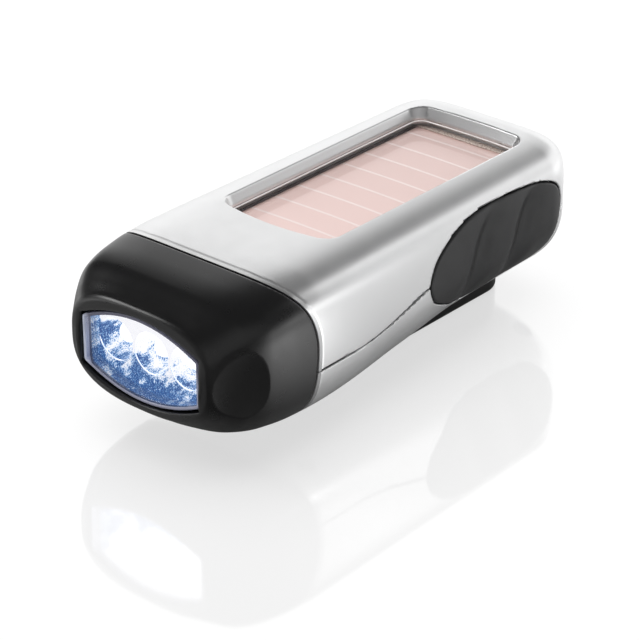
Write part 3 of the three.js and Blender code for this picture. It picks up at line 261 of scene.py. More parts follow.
def bend(start, control, end, steps):
    start, control, end = (np.array(p, float) for p in (start, control, end))
    return [
        (1 - t) ** 2 * start + 2 * t * (1 - t) * control + t * t * end
        for t in (k / steps for k in range(steps))
    ]


def bends(corners, steps):
    """Curves that follow each other: a start, then a control point and an end for each."""
    return sum((bend(*corners[k : k + 3], steps) for k in range(0, len(corners) - 2, 2)), [])


# Side grip outline, shares of its length from the front and of its height
GRIP_FRONT, GRIP_LENGTH, GRIP_BOTTOM, GRIP_HEIGHT = -3.9, 51.4, 13.8, 23.5
GRIP = [
    (0, 0.47), (0.03, 0.67), (0.1, 0.82), (0.2, 0.93), (0.33, 0.99), (0.5, 1), (0.68, 0.98),
    (0.84, 0.93), (0.95, 0.82), (1, 0.62), (0.985, 0.4), (0.94, 0.17), (0.86, 0.04), (0.7, 0),
    (0.4, 0), (0.25, 0.06), (0.1, 0.2), (0.03, 0.3),
]
grip_outline = outline_field(
    curve_through([(GRIP_FRONT - GRIP_LENGTH * back, GRIP_BOTTOM + GRIP_HEIGHT * up) for back, up in GRIP], 14)
)


# Window outline in the top
WINDOW_FRONT, WINDOW_TAIL, WINDOW_HALF, WINDOW_CORNER = 19.2, -48.9, 16.6, 3.0
FRONT_BULGE, TAIL_BULGE = 3.1, 3.9
TAIL_STRAIGHT, STRAIGHT_FROM, STRAIGHT_LENGTH, STRAIGHT_HALF = 1.9, -38, 8, 15


def window_points():
    half, side = WINDOW_HALF, WINDOW_HALF - WINDOW_CORNER
    front, tail = WINDOW_FRONT, WINDOW_TAIL
    in_front, behind = front + FRONT_BULGE / 2, tail - TAIL_BULGE / 2
    ahead, back = front - WINDOW_CORNER, tail + WINDOW_CORNER
    nose_end = (ahead, -half), (front, -half), (in_front, -side), (front + FRONT_BULGE * 1.5, 0)
    nose_end += (in_front, side), (front, half), (ahead, half)
    tail_end = (back, half), (tail, half), (behind, side), (tail - TAIL_BULGE * 1.5, 0)
    tail_end += (behind, -side), (tail, -half), (back, -half)
    return [(back, -half)] + bends(nose_end, 50) + [(ahead, half)] + bends(tail_end, 50)


window_table = outline_field(window_points())


def window_outline(x, y):
    """Its tail end is drawn back at the corners, to a nearly straight line."""
    back = TAIL_STRAIGHT * smooth(over(x, STRAIGHT_FROM, -STRAIGHT_LENGTH))
    return window_table(x + back * np.minimum((y / STRAIGHT_HALF) ** 2, 1.0), y)


# Lens outline
LENS_HALF, LENS_TOP, LENS_BOTTOM, LENS_ARC_TOP, LENS_ARC_BOTTOM = 17.4, 30.6, 18.5, 34.8, 14.4
LENS_FRONT, LENS_GAP, LENS_ROUNDING = 63.9, 0.12, 1.2


def lens_points(margin=0.0, steps=60):
    half, top, bottom = LENS_HALF + margin, LENS_TOP + margin, LENS_BOTTOM - margin
    low, high = 2 * (LENS_BOTTOM - LENS_ARC_BOTTOM), 2 * (LENS_ARC_TOP - LENS_TOP)
    points = bend((-half, bottom), (0, bottom - low), (half, bottom), steps) + [np.array((half, bottom))]
    return points + bend((half, top), (0, top + high), (-half, top), steps) + [np.array((-half, top))]


lens_outline = outline_field(lens_points())
lens_core = outline_field(lens_points(-LENS_ROUNDING), 6.0)


def lens_round(y, z):
    """The lens outline with its four corners slightly rounded."""
    return lens_core(y, z) - LENS_ROUNDING


# Surfaces of fields
SLOPE_STEP, LEAST_STEEP, PASSES = 0.02, 0.05, 4
LONGEST_MOVE, FARTHEST = 0.5, 0.9  # shares of a cell


def gradient(field, p, here=None):
    """Slopes of a field at points, to one side only where its values there are known."""
    out = np.empty_like(p)
    for axis in range(3):
        shift = np.zeros(3)
        shift[axis] = SLOPE_STEP
        if here is None:
            out[:, axis] = (field(*(p + shift).T) - field(*(p - shift).T)) / (2 * SLOPE_STEP)
        else:
            out[:, axis] = (field(*(p + shift).T) - here) / SLOPE_STEP
    return out


def tightened(field, points, cell):
    """Points moved onto the surface of a field, none of them far from its cell."""
    start = points.copy()
    for _ in range(PASSES):
        here = field(*points.T)
        slopes = gradient(field, points, here)
        steep = np.maximum((slopes**2).sum(1), LEAST_STEEP)
        move = -(here / steep)[:, None] * slopes
        length = np.linalg.norm(move, axis=1, keepdims=True)
        points += move * np.minimum(1, LONGEST_MOVE * cell / np.maximum(length, TINY))
        points = start + np.clip(points - start, -FARTHEST * cell, FARTHEST * cell)
    return points


def surface(field, low, high, cell):
    """Points, quads and normals of the surface of a field, on a grid of that cell."""
    axes = [np.arange(a, b + cell, cell) for a, b in zip(low, high)]
    values = field(axes[0][:, None, None], axes[1][None, :, None], axes[2][None, None, :])
    shape = np.array(values.shape)
    inside = values < 0
    total = np.zeros(tuple(shape - 1), np.int8)
    for corner in np.ndindex(2, 2, 2):
        total += inside[tuple(slice(at, n - 1 + at) for at, n in zip(corner, shape))]
    cells = np.argwhere((total > 0) & (total < 8))
    number = np.full(tuple(shape - 1), -1, np.int64)
    number[tuple(cells.T)] = np.arange(len(cells))
    sums, counts = np.zeros((len(cells), 3)), np.zeros(len(cells))
    quads = []
    for axis in range(3):
        one = np.eye(3, dtype=int)[axis]
        a = values[tuple(slice(0, n - o) for n, o in zip(shape, one))]
        b = values[tuple(slice(o, n) for n, o in zip(shape, one))]
        edges = np.argwhere((a < 0) != (b < 0))
        va, vb = a[tuple(edges.T)], b[tuple(edges.T)]
        place = edges.astype(float)
        place[:, axis] += va / (va - vb)
        u, v = [(axis + 1) % 3, (axis + 2) % 3]
        around = []
        for du, dv in ((0, 0), (-1, 0), (-1, -1), (0, -1)):
            near = edges.copy()
            near[:, u] += du
            near[:, v] += dv
            around.append(number[tuple(near.T)])
            counts += np.bincount(around[-1], minlength=len(cells))
            for column in range(3):
                sums[:, column] += np.bincount(around[-1], place[:, column], len(cells))
        quad = np.stack(around, 1)
        quads.append(np.where((va < 0)[:, None], quad, quad[:, ::-1]))
    origin = np.array([a[0] for a in axes])
    points = tightened(field, origin + cell * sums / counts[:, None], cell)
    normals = gradient(field, points)
    normals /= np.maximum(np.linalg.norm(normals, axis=1, keepdims=True), TINY)
    return points, np.concatenate(quads), normals


def mesh_object(name, points, faces, normals=None, sharp=None):
    """An object of points and faces, with its normals given or its edges sharp from an angle in degrees."""
    mesh = bpy.data.meshes.new(name)
    mesh.from_pydata((np.asarray(points) * MM).tolist(), [], [list(face) for face in faces])
    mesh.update()
    mesh.polygons.foreach_set("use_smooth", np.ones(len(mesh.polygons), bool))
    if normals is not None:
        mesh.normals_split_custom_set_from_vertices(np.asarray(normals).tolist())
    if sharp is not None:
        mesh.set_sharp_from_angle(angle=math.radians(sharp))
    made = bpy.data.objects.new(name, mesh)
    bpy.context.scene.collection.objects.link(made)
    return made


def dressed(made, material, slot_name, *stands_for, body="housing"):
    made.data.materials.append(material)
    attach(made, body)
    if stands_for:
        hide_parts(*stands_for)


def solid(name, field, low, high, cell, *looks, body="housing"):
    """A piece from the surface of a field between two corners."""
    dressed(mesh_object(name, *surface(field, low, high, cell)), *looks, body=body)


def swept(name, rings, sharp=None):
    """A tube over rings of equal count, closed at its two ends."""
    count, across = len(rings), len(rings[0])
    faces = []
    for i in range(count - 1):
        for j in range(across):
            a, b = i * across + j, i * across + (j + 1) % across
            faces.append((a, b, b + across, a + across))
    last = across * (count - 1)
    faces += [list(range(across))[::-1], list(range(last, last + across))]
    return mesh_object(name, np.concatenate(rings), faces, sharp=sharp)


def wire_ring(centre, radius, thick, turn):
    """Points round a wire, where it lies at a radius and a turn about x."""
    out = []
    for a in np.linspace(0, 2 * math.pi, 11)[:-1]:
        reach = radius + thick * math.cos(a)
        y, z = centre[1] + reach * math.cos(turn), centre[2] + reach * math.sin(turn)
        out.append((centre[0] + thick * math.sin(a), y, z))
    return out


def lathe(name, profile, centre, turns=72):
    """A piece turned about x: radius and place pairs. It closes itself where the radius is 0."""
    points, rows, faces = [], [], []
    for radius, place in profile:
        row = []
        for k in range(1 if radius == 0 else turns):
            angle = 2 * math.pi * k / turns
            y, z = radius * math.cos(angle) + centre[1], radius * math.sin(angle) + centre[2]
            row.append(len(points))
            points.append((place + centre[0], y, z))
        rows.append(row)
    for first, second in zip(rows, rows[1:]):
        for k in range(turns):
            a, b = first[k % len(first)], first[(k + 1) % len(first)]
            c, d = second[(k + 1) % len(second)], second[k % len(second)]
            face = list(dict.fromkeys((a, b, c, d)))
            if len(face) > 2:
                faces.append(face)
    return mesh_object(name, points, faces, sharp=38)


# Materials
class Signal:
    """A number that varies over a material. Arithmetic on it adds Math nodes."""

    def __init__(self, socket):
        self.socket, self.tree = socket, socket.id_data

    def math(self, kind, other=0.0, clamp=False, swapped=False):
        made = node(self.tree, "ShaderNodeMath", operation=kind, use_clamp=clamp)
        pair = (other, self) if swapped else (self, other)
        return Signal(feed_in_order(made, *pair).outputs["Value"])

    def __add__(self, other):
        return self.math("ADD", other)

    def __sub__(self, other):
        return self.math("SUBTRACT", other)

    def __rsub__(self, other):
        return self.math("SUBTRACT", other, swapped=True)

    def __mul__(self, other):
        return self.math("MULTIPLY", other)

    def __truediv__(self, other):
        return self.math("DIVIDE", other)


def feed(target, value):
    """Sets a socket to a plain value, or links it to what varies."""
    if isinstance(value, Signal):
        value = value.socket
    if isinstance(value, bpy.types.NodeSocket):
        target.id_data.links.new(value, target)
    else:
        target.default_value = value


def set_up(made, **values):
    """Feeds inputs by name, with _ for a space, and sets the rest as properties."""
    for key, value in values.items():
        name = key.replace("_", " ")
        if name in made.inputs:
            feed(made.inputs[name], value)
        else:
            setattr(made, key, value)
    return made


def node(tree, kind, **values):
    return set_up(tree.nodes.new(kind), **values)


def feed_in_order(made, *values):
    for socket, value in zip(made.inputs, values):
        feed(socket, value)
    return made


def vector_math(kind, first, second=(0, 0, 0)):
    made = feed_in_order(node(first.id_data, "ShaderNodeVectorMath", operation=kind), first, second)
    if kind in ("DOT_PRODUCT", "DISTANCE"):
        return Signal(made.outputs["Value"])
    return made.outputs["Vector"]


def mixed_color(tree, share, first, second, blend="MIX"):
    made = node(tree, "ShaderNodeMix", data_type="RGBA", blend_type=blend)
    for index, value in ((0, share), (6, first), (7, second)):
        feed(made.inputs[index], value)
    return made.outputs[2]


def mixed_surface(tree, share, first, second):
    """The material's surface is first, and second for that share."""
    made = feed_in_order(node(tree, "ShaderNodeMixShader"), share, first.outputs[0], second.outputs[0])
    feed(tree.nodes["Material Output"].inputs["Surface"], made.outputs["Shader"])


def new_material(name, color, roughness, metallic=0.0):
    made = bpy.data.materials.new(name)
    made.use_nodes = True
    shader = made.node_tree.nodes["Principled BSDF"]
    set_up(shader, Base_Color=(*color, 1), Roughness=roughness, Metallic=metallic)
    return made, made.node_tree, shader


def object_place(tree):
    return node(tree, "ShaderNodeTexCoord").outputs["Object"]


def place_parts(tree):
    return [Signal(part) for part in node(tree, "ShaderNodeSeparateXYZ", Vector=object_place(tree)).outputs]


def noise(tree, scale, detail=3.0, stretch=None, place=None):
    """Noise in the part's own frame, with its scale in features per metre."""
    if place is None:
        place = object_place(tree)
    if stretch:
        place = node(tree, "ShaderNodeMapping", Scale=stretch, Vector=place).outputs["Vector"]
    return Signal(node(tree, "ShaderNodeTexNoise", Scale=scale, Detail=detail, Vector=place).outputs["Fac"])


def spread(value, low, high, start=0.3, end=0.7, kind="LINEAR"):
    """Goes from low to high as a value goes from start to end."""
    made = node(value.tree, "ShaderNodeMapRange", interpolation_type=kind)
    set_up(made, From_Min=start, From_Max=end, To_Min=low, To_Max=high, Value=value)
    return Signal(made.outputs["Result"])


def rise(value, start, end, kind="LINEAR"):
    return spread(value, 0.0, 1.0, start, end, kind)


def ramp(value, stops):
    made = node(value.tree, "ShaderNodeValToRGB", Fac=value)
    points = made.color_ramp.elements
    while len(points) < len(stops):
        points.new(0.5)
    for point, (place, color) in zip(points, stops):
        point.position, point.color = place, (*color, 1)
    return made.outputs["Color"]


def bumped(shader, value, height):
    made = node(shader.id_data, "ShaderNodeBump", Distance=height * MM, Strength=1.0, Height=value)
    feed(shader.inputs["Normal"], made.outputs["Normal"])


def shade(color, factor):
    return tuple(c * factor for c in color)


SLOW_NOISE, GLOSS_NOISE = 90, 260  # features per metre


def grained(name, color, roughness, metallic=0.0, grain=2500, depth=0.01, varies=0.03, wear=0.06, specular=0.5):
    """A moulded or painted surface: fine grain, slow colour change and uneven gloss."""
    made, tree, shader = new_material(name, color, roughness, metallic)
    tones = [(0.3, shade(color, 1 - varies)), (0.7, shade(color, 1 + varies))]
    gloss = spread(noise(tree, GLOSS_NOISE, 5), roughness - wear, roughness + wear)
    color = ramp(noise(tree, SLOW_NOISE, 4), tones)
    set_up(shader, Specular_IOR_Level=specular, Base_Color=color, Roughness=gloss)
    bumped(shader, noise(tree, grain, 1), depth)
    return made


CLEAR_SHINE, EDGE_SHINE, EDGE_POWER = 0.04, 0.95, 5.0


def clear_material(name, tint, roughness):
    """Thin clear plastic: what is behind shows through, and its surface shines."""
    made, tree, shader = new_material(name, tint, roughness)
    tree.nodes.remove(shader)
    through = node(tree, "ShaderNodeBsdfTransparent", Color=(*tint, 1))
    uneven = spread(noise(tree, 180, 3), roughness, roughness + 0.03)
    gloss = node(tree, "ShaderNodeBsdfGlossy", Roughness=uneven)
    facing = Signal(node(tree, "ShaderNodeLayerWeight", Blend=0.5).outputs["Facing"])
    mixed_surface(tree, facing.math("POWER", EDGE_POWER) * EDGE_SHINE + CLEAR_SHINE, through, gloss)
    return made


SILVER, SILVER_ROUGHNESS, SILVER_METALLIC, SILVER_GRAIN = (0.85, 0.853, 0.856), 0.3, 0.9, 3400
silver = grained(
    "silver_paint", SILVER, SILVER_ROUGHNESS, SILVER_METALLIC, SILVER_GRAIN, depth=0.011, varies=0.01, wear=0.02
)
black = grained("black_satin", (0.0055, 0.0055, 0.0058), 0.29, grain=2600, depth=0.004, wear=0.02, specular=0.75)
rubber = grained("grip_rubber", (0.014, 0.014, 0.015), 0.42, grain=2600, depth=0.02, wear=0.03, specular=0.58)
clear = clear_material("clear_plastic", (0.97, 0.97, 0.99), 0.04)


# Shells
SHELL_WALL, POCKET_DEPTH, GRIP_INSIDE = 1.8, 2.5, 8
BACKING_WALL, BACKING_REACH, BACKING_EASE = 2.2, 2.4, 1.5
RIM_WIDTH, RIM_STEP, RIM_MARGIN, RIM_EASE = 1.15, 0.09, 0.35, 0.6
TOP_FROM, WELL_BOTTOM, WELL_MARGIN = 41.7, 36.8, 1.9
RECESS_DEPTH, RECESS_SLOPE, LEDGE = 2.6, 1.2, 0.6
BUTTON_RADIUS, DISH_RADIUS, DISH_DEPTH, BOSS_RADIUS, BOSS_DEPTH = 4.5, 7.4, 1.2, 8.2, 3.6
BUTTON_REACH, BEYOND = 20, 50.0
CRANK_X, BUSH_HOLE = 8.0, 5.35
SCREWS = [(32, 19.3), (32, -19.3), (-55.5, 14.6), (-55.5, -14.6)]
POST_RADIUS, HEAD_HOLE, SHANK_HOLE, HEAD_SEAT = 3, 2.4, 1.25, 15


def common_shell(x, y, z):
    """The hollow skin behind the nose, thicker behind the grips and round the button."""
    outer = np.maximum(skin(x, y, z), TAIL - x)
    grip = grip_outline(x, z)
    wall = SHELL_WALL + BACKING_WALL * over(grip, BACKING_REACH, -BACKING_EASE)
    made = np.maximum(outer, -(outer + wall))
    boss = within(np.hypot(y, z - MIDDLE) - BOSS_RADIUS, x - TAIL - BOSS_DEPTH, outer)
    return outer, grip, either(made, boss)


def shell_cuts(made, outer, grip, x, y, z):
    """Both shells stop at the nose, a little lower under the trim, and take the grips and the button."""
    ahead = nose_side(x, z)
    made = np.maximum(made, outer + RIM_STEP * smooth(over(ahead, -RIM_WIDTH - RIM_MARGIN, RIM_EASE)))
    made = both(made, ahead + GAP / 2, 0.1)
    pocket = within(grip - GAP, -(outer + POCKET_DEPTH), GRIP_INSIDE - np.abs(y))
    made = less(made, pocket, 0.25)
    from_axis = np.hypot(y, z - MIDDLE)
    made = less(made, np.maximum(from_axis - DISH_RADIUS, x - TAIL - DISH_DEPTH), 0.4)
    return less(made, from_axis - BUTTON_RADIUS - GAP + BEYOND * (x > TAIL + BUTTON_REACH), 0.2)


def upper_shell(x, y, z):
    outer, grip, made = common_shell(x, y, z)
    window = window_outline(x, y)
    made = np.minimum(made, within(window - WELL_MARGIN, WELL_BOTTOM - z, outer))
    made = shell_cuts(made, outer, grip, x, y, z)
    made = both(made, split_height(x) - z, 0.15)
    tilt = RECESS_SLOPE / RECESS_DEPTH
    sloped = (window + tilt * (CROWN - z)) / math.hypot(1, tilt)
    made = less(made, np.maximum(sloped, CROWN - RECESS_DEPTH - z), 0.25)
    made = less(made, np.maximum(window + RECESS_SLOPE, z - TOP_FROM), 0.12)
    return less(made, np.maximum(window, z - (CROWN - RECESS_DEPTH - LEDGE)))


def lower_shell(x, y, z):
    outer, grip, made = common_shell(x, y, z)
    from_screws = [np.hypot(x - at_x, y - at_y) for at_x, at_y in SCREWS]
    for away in from_screws:
        made = np.minimum(made, np.maximum(away - POST_RADIUS, outer))
    made = shell_cuts(made, outer, grip, x, y, z)
    made = both(made, z - split_height(x) + GAP, 0.15)
    for away in from_screws:
        made = less(made, np.maximum(away - HEAD_HOLE, z - HEAD_SEAT), 0.25)
        made = less(made, away - SHANK_HOLE)
    return less(made, np.hypot(x - CRANK_X, y) - BUSH_HOLE, 0.2)


def seam_ring(turns, place, inset):
    """Points round the skin, ahead of the nose seam by place and drawn in by inset."""
    across, up = np.cos(turns), np.sin(turns)
    z = np.full(turns.shape, MIDDLE)
    for _ in range(30):
        x = seam_x(z) + place
        half, crown, belly, upper, lower = section(x)
        high = np.where(up >= 0, crown, belly) - inset
        full = np.where(up >= 0, upper, lower)
        wide = half - inset
        reach = (np.abs(across / wide) ** full + np.abs(up / high) ** full) ** (-1 / full)
        z = 0.5 * z + 0.5 * (MIDDLE + reach * up)
    return np.stack([x, reach * across, MIDDLE + reach * up], 1)


# The trim's section: places ahead of the seam, and depths under the skin
RIM_PROFILE = [
    (-RIM_WIDTH - 0.03, 0.1), (-RIM_WIDTH + 0.04, 0.0), (-RIM_WIDTH + 0.07, 0), (-0.6, 0), (-0.2, 0),
    (-0.17, 0), (0, 0.15), (0, 1.5), (-RIM_WIDTH, 1.5),
]


def rim_arc(name, start, end, count=240):
    turns = np.linspace(end, start, count)
    return swept(name, np.stack([seam_ring(turns, place, inset) for place, inset in RIM_PROFILE], 1), 50)


def rim_paint_with_painted_shade():
    """The same paint, with painted shade: darker low on the sides where it faces the nose."""
    made, tree, shader = new_material("rim_paint_with_painted_shade", SILVER, SILVER_ROUGHNESS, SILVER_METALLIC)
    x, y, z = place_parts(tree)
    # Painted shade: the paint turns darker grey low on the sides.
    tone = ramp(rise(z, 0.029, 0.036), [(0.0, (0.5, 0.502, 0.505)), (1.0, SILVER)])
    set_up(shader, Base_Color=tone, Roughness=spread(noise(tree, GLOSS_NOISE, 5), 0.28, 0.32))
    bumped(shader, noise(tree, SILVER_GRAIN, 1), 0.008)
    return made


looks = silver, "silver_plastic"
solid("shell_top", upper_shell, (-66.2, -28.3, 18.6), (46.5, 28.3, 43.8), 0.45, *looks, "upper_shell")
solid("shell_bottom", lower_shell, (-66.2, -28.3, 6), (41.5, 28.3, 27), 0.5, *looks, "lower_shell")
low_turns = np.linspace(-0.7, 0, 300)
low_split, high_split = np.interp([SPLIT_FRONT - GAP, SPLIT_FRONT], seam_ring(low_turns, 0, 0)[:, 2], low_turns)
rim_finish_with_painted_shade = rim_paint_with_painted_shade()
for name, start, end in (
    ("rim_top", high_split, math.pi - high_split),
    ("rim_bottom", math.pi - low_split, 2 * math.pi + low_split),
):
    dressed(rim_arc(name, start, end), rim_finish_with_painted_shade, "silver_plastic")


# Side grips
DENTS = [(-24.2, 1.85), (-40.5, 2.0)]
DENT_WIDTH, DENT_LEAN, DENT_LEAN_FROM, DENT_MIDDLE, DENT_REACH = 3.5, -0.34, 26, 25.5, 9
GRIP_THICKNESS, GRIP_SHIFT_X, GRIP_SHIFT_Z = 2.45, 0.12, 0.16


def finger_dents(x, z):
    """How deep the leaning finger dents are, from their places along the grip and their depths."""
    lean = DENT_LEAN * (z - DENT_LEAN_FROM)
    fade = ((z - DENT_MIDDLE) / DENT_REACH) ** 4
    return sum(depth * np.exp(-(((x - at_x - lean) / DENT_WIDTH) ** 2) - fade) for at_x, depth in DENTS)


def grip_field(side):
    def field(x, y, z):
        outer = skin(x, y, z)
        made = both(outer + finger_dents(x, z), grip_outline(x + GRIP_SHIFT_X, z + GRIP_SHIFT_Z), 0.6)
        made = both(made, -(outer + GRIP_THICKNESS), 0.15)
        return np.maximum(made, GRIP_INSIDE - side * y)

    return field


for side, name, cad in ((1, "grip_near", "grip_left"), (-1, "grip_far", "grip_right")):
    low, high = sorted((side * 14.5, side * 28.2))
    solid(name, grip_field(side), (-56.6, low, 12.6), (-2.6, high, 38.6), 0.38, rubber, "grip_rubber", cad)


# Nose
SCOOP_RADIUS, SCOOP_DEPTH, SCOOP_BACK, SCOOP_HEIGHT, SCOOP_TURN, SCOOP_WALL = 26.0, 2.0, 7.3, 23.2, 0.42, 1.2
LIP_CREASE, CREASE_FRONT, CREASE_BACK, CREASE_DEPTH = 62.7, 0.9, 3.6, 0.22
NOSE_WALL, SLEEVE_DEPTH, SLEEVE_BACK, SLEEVE_FRONT = 2.1, 3.6, 4, 3
HOLLOW_FRONT, SEAT_FRONT, SEAT_MARGIN, OPENING_BACK = 61.6, 61.8, 1.3, 55


def scoop_centre():
    x = NOSE - SCOOP_BACK
    half = section(np.array([x]))[0][0]
    out = SCOOP_RADIUS - SCOOP_DEPTH
    return x + SCOOP_TURN * out, half + math.sqrt(1 - SCOOP_TURN**2) * out, SCOOP_HEIGHT


SCOOP = scoop_centre()


def nose_cap(x, y, z):
    outer = skin(x, y, z)
    ahead = nose_side(x, z)
    width = np.where(x > LIP_CREASE, CREASE_FRONT, CREASE_BACK)
    crease = CREASE_DEPTH * np.exp(-(((x - LIP_CREASE) / width) ** 2)) * over(z, 24, 8)
    made = both(outer + crease, x - NOSE, 0.8 + 1.3 * over(z, 27, 5))
    made = both(made, GAP - ahead, 0.3)
    ball = np.sqrt((x - SCOOP[0]) ** 2 + (np.abs(y) - SCOOP[1]) ** 2 + (z - SCOOP[2]) ** 2) - SCOOP_RADIUS
    made = less(made, within(outer + NOSE_WALL, x - HOLLOW_FRONT, SCOOP_WALL - ball))
    sleeve = within(outer + NOSE_WALL, -(outer + SLEEVE_DEPTH), -SLEEVE_BACK - ahead, ahead - SLEEVE_FRONT)
    made = np.minimum(made, sleeve)
    made = both(made, -ball, 0.12 + 1.2 * over(z, 26, 8) * over(x, 54, 8))
    lens = lens_outline(y, z)
    made = less(made, np.maximum(lens - LENS_GAP, OPENING_BACK - x), 0.45 + 0.75 * over(z, 19, 6))
    return less(made, within(lens - SEAT_MARGIN, x - SEAT_FRONT, OPENING_BACK - x))


looks = black, "black_plastic", "nose_cap"
solid("nose_cap_skin", nose_cap, (31, -28.3, 6.2), (66, 28.3, 43.6), 0.39, *looks)


# Lens
FLANGE_BACK, FLANGE_FRONT, FLANGE_HALF, LENS_SKIRT = 60.3, 61.5, 1, 0.9


def lens_plate(x, y, z):
    return both(lens_round(y, z) + LENS_SKIRT, np.maximum(LENS_FRONT - 0.9 - x, x - LENS_FRONT + 0.15), 0.3)


def lens_skirt(x, y, z):
    outline = lens_round(y, z)
    wall = both(outline, x - LENS_FRONT, 0.45)
    wall = both(wall, -(outline + LENS_SKIRT), 0.2)
    wall = np.maximum(wall, FLANGE_BACK - x)
    flange = within(outline - FLANGE_HALF, -(outline + FLANGE_HALF), FLANGE_BACK - x, x - FLANGE_FRONT)
    return np.minimum(wall, flange)


# Reflector
REFLECTOR_BACK, REFLECTOR_FRONT, REFLECTOR_INSET = 49.6, 60.35, 0.8
LED_HEIGHT, LED_PITCH, BOWL_RADIUS, THROAT, THROAT_DEPTH = 24.9, 10.6, 5.0, 3.2, 2.6


def bowl_radius(x):
    start = REFLECTOR_BACK + THROAT_DEPTH
    share = over(x, start, REFLECTOR_FRONT - start)
    return THROAT + (BOWL_RADIUS - THROAT) * np.sqrt(share + 0.002)


def reflector_field(x, y, z):
    outline = lens_round(y, z) + REFLECTOR_INSET
    made = both(outline, np.maximum(REFLECTOR_BACK - x, x - REFLECTOR_FRONT), 0.08)
    for slot in (-1, 0, 1):
        bowl = np.hypot(y - slot * LED_PITCH, z - LED_HEIGHT) - bowl_radius(x)
        made = less(made, bowl * 0.9, 0.15)
    return made


def led_profile():
    dome = [(2.5 * math.cos(t), 6.1 + 2.5 * math.sin(t)) for t in np.linspace(0, math.pi / 2, 14)]
    dome[-1] = (0, 8.6)
    return [(0, -3), (1.2, -3), (1.2, 0), (2.9, 0), (2.9, 1), (2.5, 1)] + dome


def turned(tree, y, z, angle, along, across):
    """Coordinates in the lens plane, turned by an angle and scaled along and across it."""
    cos, sin = math.cos(angle), math.sin(angle)
    first = y * (cos * along) + z * (sin * along)
    second = y * (-sin * across) + z * (cos * across)
    return node(tree, "ShaderNodeCombineXYZ", X=first, Y=second).outputs["Vector"]


# Painted glow: the far side starts at FAR_SIDE and the dark lower part ends at DARK_TOP, both in metres
FAR_SIDE, DARK_TOP = -0.0157, 0.0205
PAINTED_GLOW_STOPS = [
    (0.0, (0.006, 0.055, 0.24)), (0.2, (0.028, 0.14, 0.38)), (0.42, (0.25, 0.45, 0.74)),
    (0.6, (0.74, 0.83, 0.95)), (0.8, (1, 1, 1)),
]


def painted_glow_colors(tree):
    """Painted glow standing for the LEDs' light in the bowls: white streaks above, speckled deep blue below and at
    the far side.
    """
    x, y, z = place_parts(tree)
    streak = noise(tree, 1.0, 4.0, place=turned(tree, y, z, 0.75, 130.0, 800.0))
    cloud, speck = noise(tree, 330, 5), noise(tree, 3300, 2)
    side = (y - FAR_SIDE).math("MULTIPLY", 500.0, clamp=True)
    level = (z - DARK_TOP) * 130.0 + (side - 1.0) * 1.6
    level = level + (cloud - 0.5) * 2.4 + (streak - 0.5) * 1.6
    level = (level + 0.5).math("MAXIMUM", 0.14)
    pane = y.math("LESS_THAN", FAR_SIDE) * rise(z, 0.0208, 0.0222) * (streak * 1.3 - 0.42)
    return ramp(level + pane + (speck - 0.5) * 1.9, PAINTED_GLOW_STOPS)


def reflector_with_painted_glow():
    made, tree, shader = new_material("plated_bowls", (0.2, 0.25, 0.35), 0.3, 0.3)
    color = painted_glow_colors(tree)
    dull = mixed_color(tree, 1.0, color, (0.14, 0.14, 0.14, 1), "MULTIPLY")
    # Painted glow: the bowls emit the painted LED light, and their base colour is a darkened copy of it.
    set_up(shader, Emission_Color=color, Emission_Strength=0.97, Base_Color=dull)
    bumped(shader, noise(tree, 900, 4), 0.06)
    return made


def led_resin():
    made, tree, shader = new_material("led_resin", (0.92, 0.95, 1.0), 0.12)
    glow = painted_glow_colors(tree)
    # Painted glow: the LED domes emit the same painted light in place of a lamp.
    set_up(shader, Emission_Color=glow, Base_Color=glow, Emission_Strength=0.8)
    return made


RIM_BANDS = [
    (0.0, (0.03, 0.05, 0.1)), (0.5, (0.04, 0.05, 0.1)), (0.56, (0.35, 0.36, 0.47)), (1.0, (0.76, 0.82, 1.0)),
]


def frosted_rim():
    """Pale violet at the front of the rim, a painted blue glow further in, and painted shade, darker, high on its
    near part.
    """
    made, tree, shader = new_material("lens_rim", (0.44, 0.42, 0.52), 0.22)
    x, y, z = place_parts(tree)
    near, high = rise(y, -0.0172, -0.015), rise(z, 0.024, 0.028)
    place = rise(x, FLANGE_BACK * MM, LENS_FRONT * MM) - near * 0.42
    # Painted shade: darker high on the near part.
    paint = mixed_color(tree, near * high, ramp(place, RIM_BANDS), (0.13, 0.13, 0.19, 1))
    out = node(tree, "ShaderNodeCombineXYZ", Y=y, Z=z - LED_HEIGHT * MM).outputs["Vector"]
    normal = node(tree, "ShaderNodeNewGeometry").outputs["Normal"]
    # Painted glow on the inner side, further in.
    inner = vector_math("DOT_PRODUCT", out, normal).math("LESS_THAN", -0.001)
    lit = inner * spread(place, 0.6, 0.0, 0.26, 0.4)
    set_up(shader, Base_Color=paint, Emission_Color=painted_glow_colors(tree), Emission_Strength=lit)
    set_up(shader, Specular_IOR_Level=0.7, Roughness=spread(noise(tree, 600, 4), 0.12, 0.3))
    return made


# Painted glint: the beads on the bowls' edges glow white and pale blue in place of lit highlights.
def bowl_glint():
    made, tree, shader = new_material("bowl_glint", (0.8, 0.86, 0.95), 0.15, 1.0)
    glow = ramp(noise(tree, 260, 3), [(0.35, (0.4, 0.55, 0.8)), (0.6, (1, 1, 1))])
    set_up(shader, Emission_Strength=0.85, Emission_Color=glow)
    return made


def bead(name, thick, start, end, centre, count=48):
    """A thin bead along part of a bowl's edge, thinner towards its ends."""
    rings = []
    for k, turn in enumerate(np.linspace(start, end, count)):
        width = thick * min(1.0, 0.2 + 5 * min(k, count - 1 - k) / count)
        rings.append(wire_ring(centre, BOWL_RADIUS, width, turn))
    return swept(name, rings)


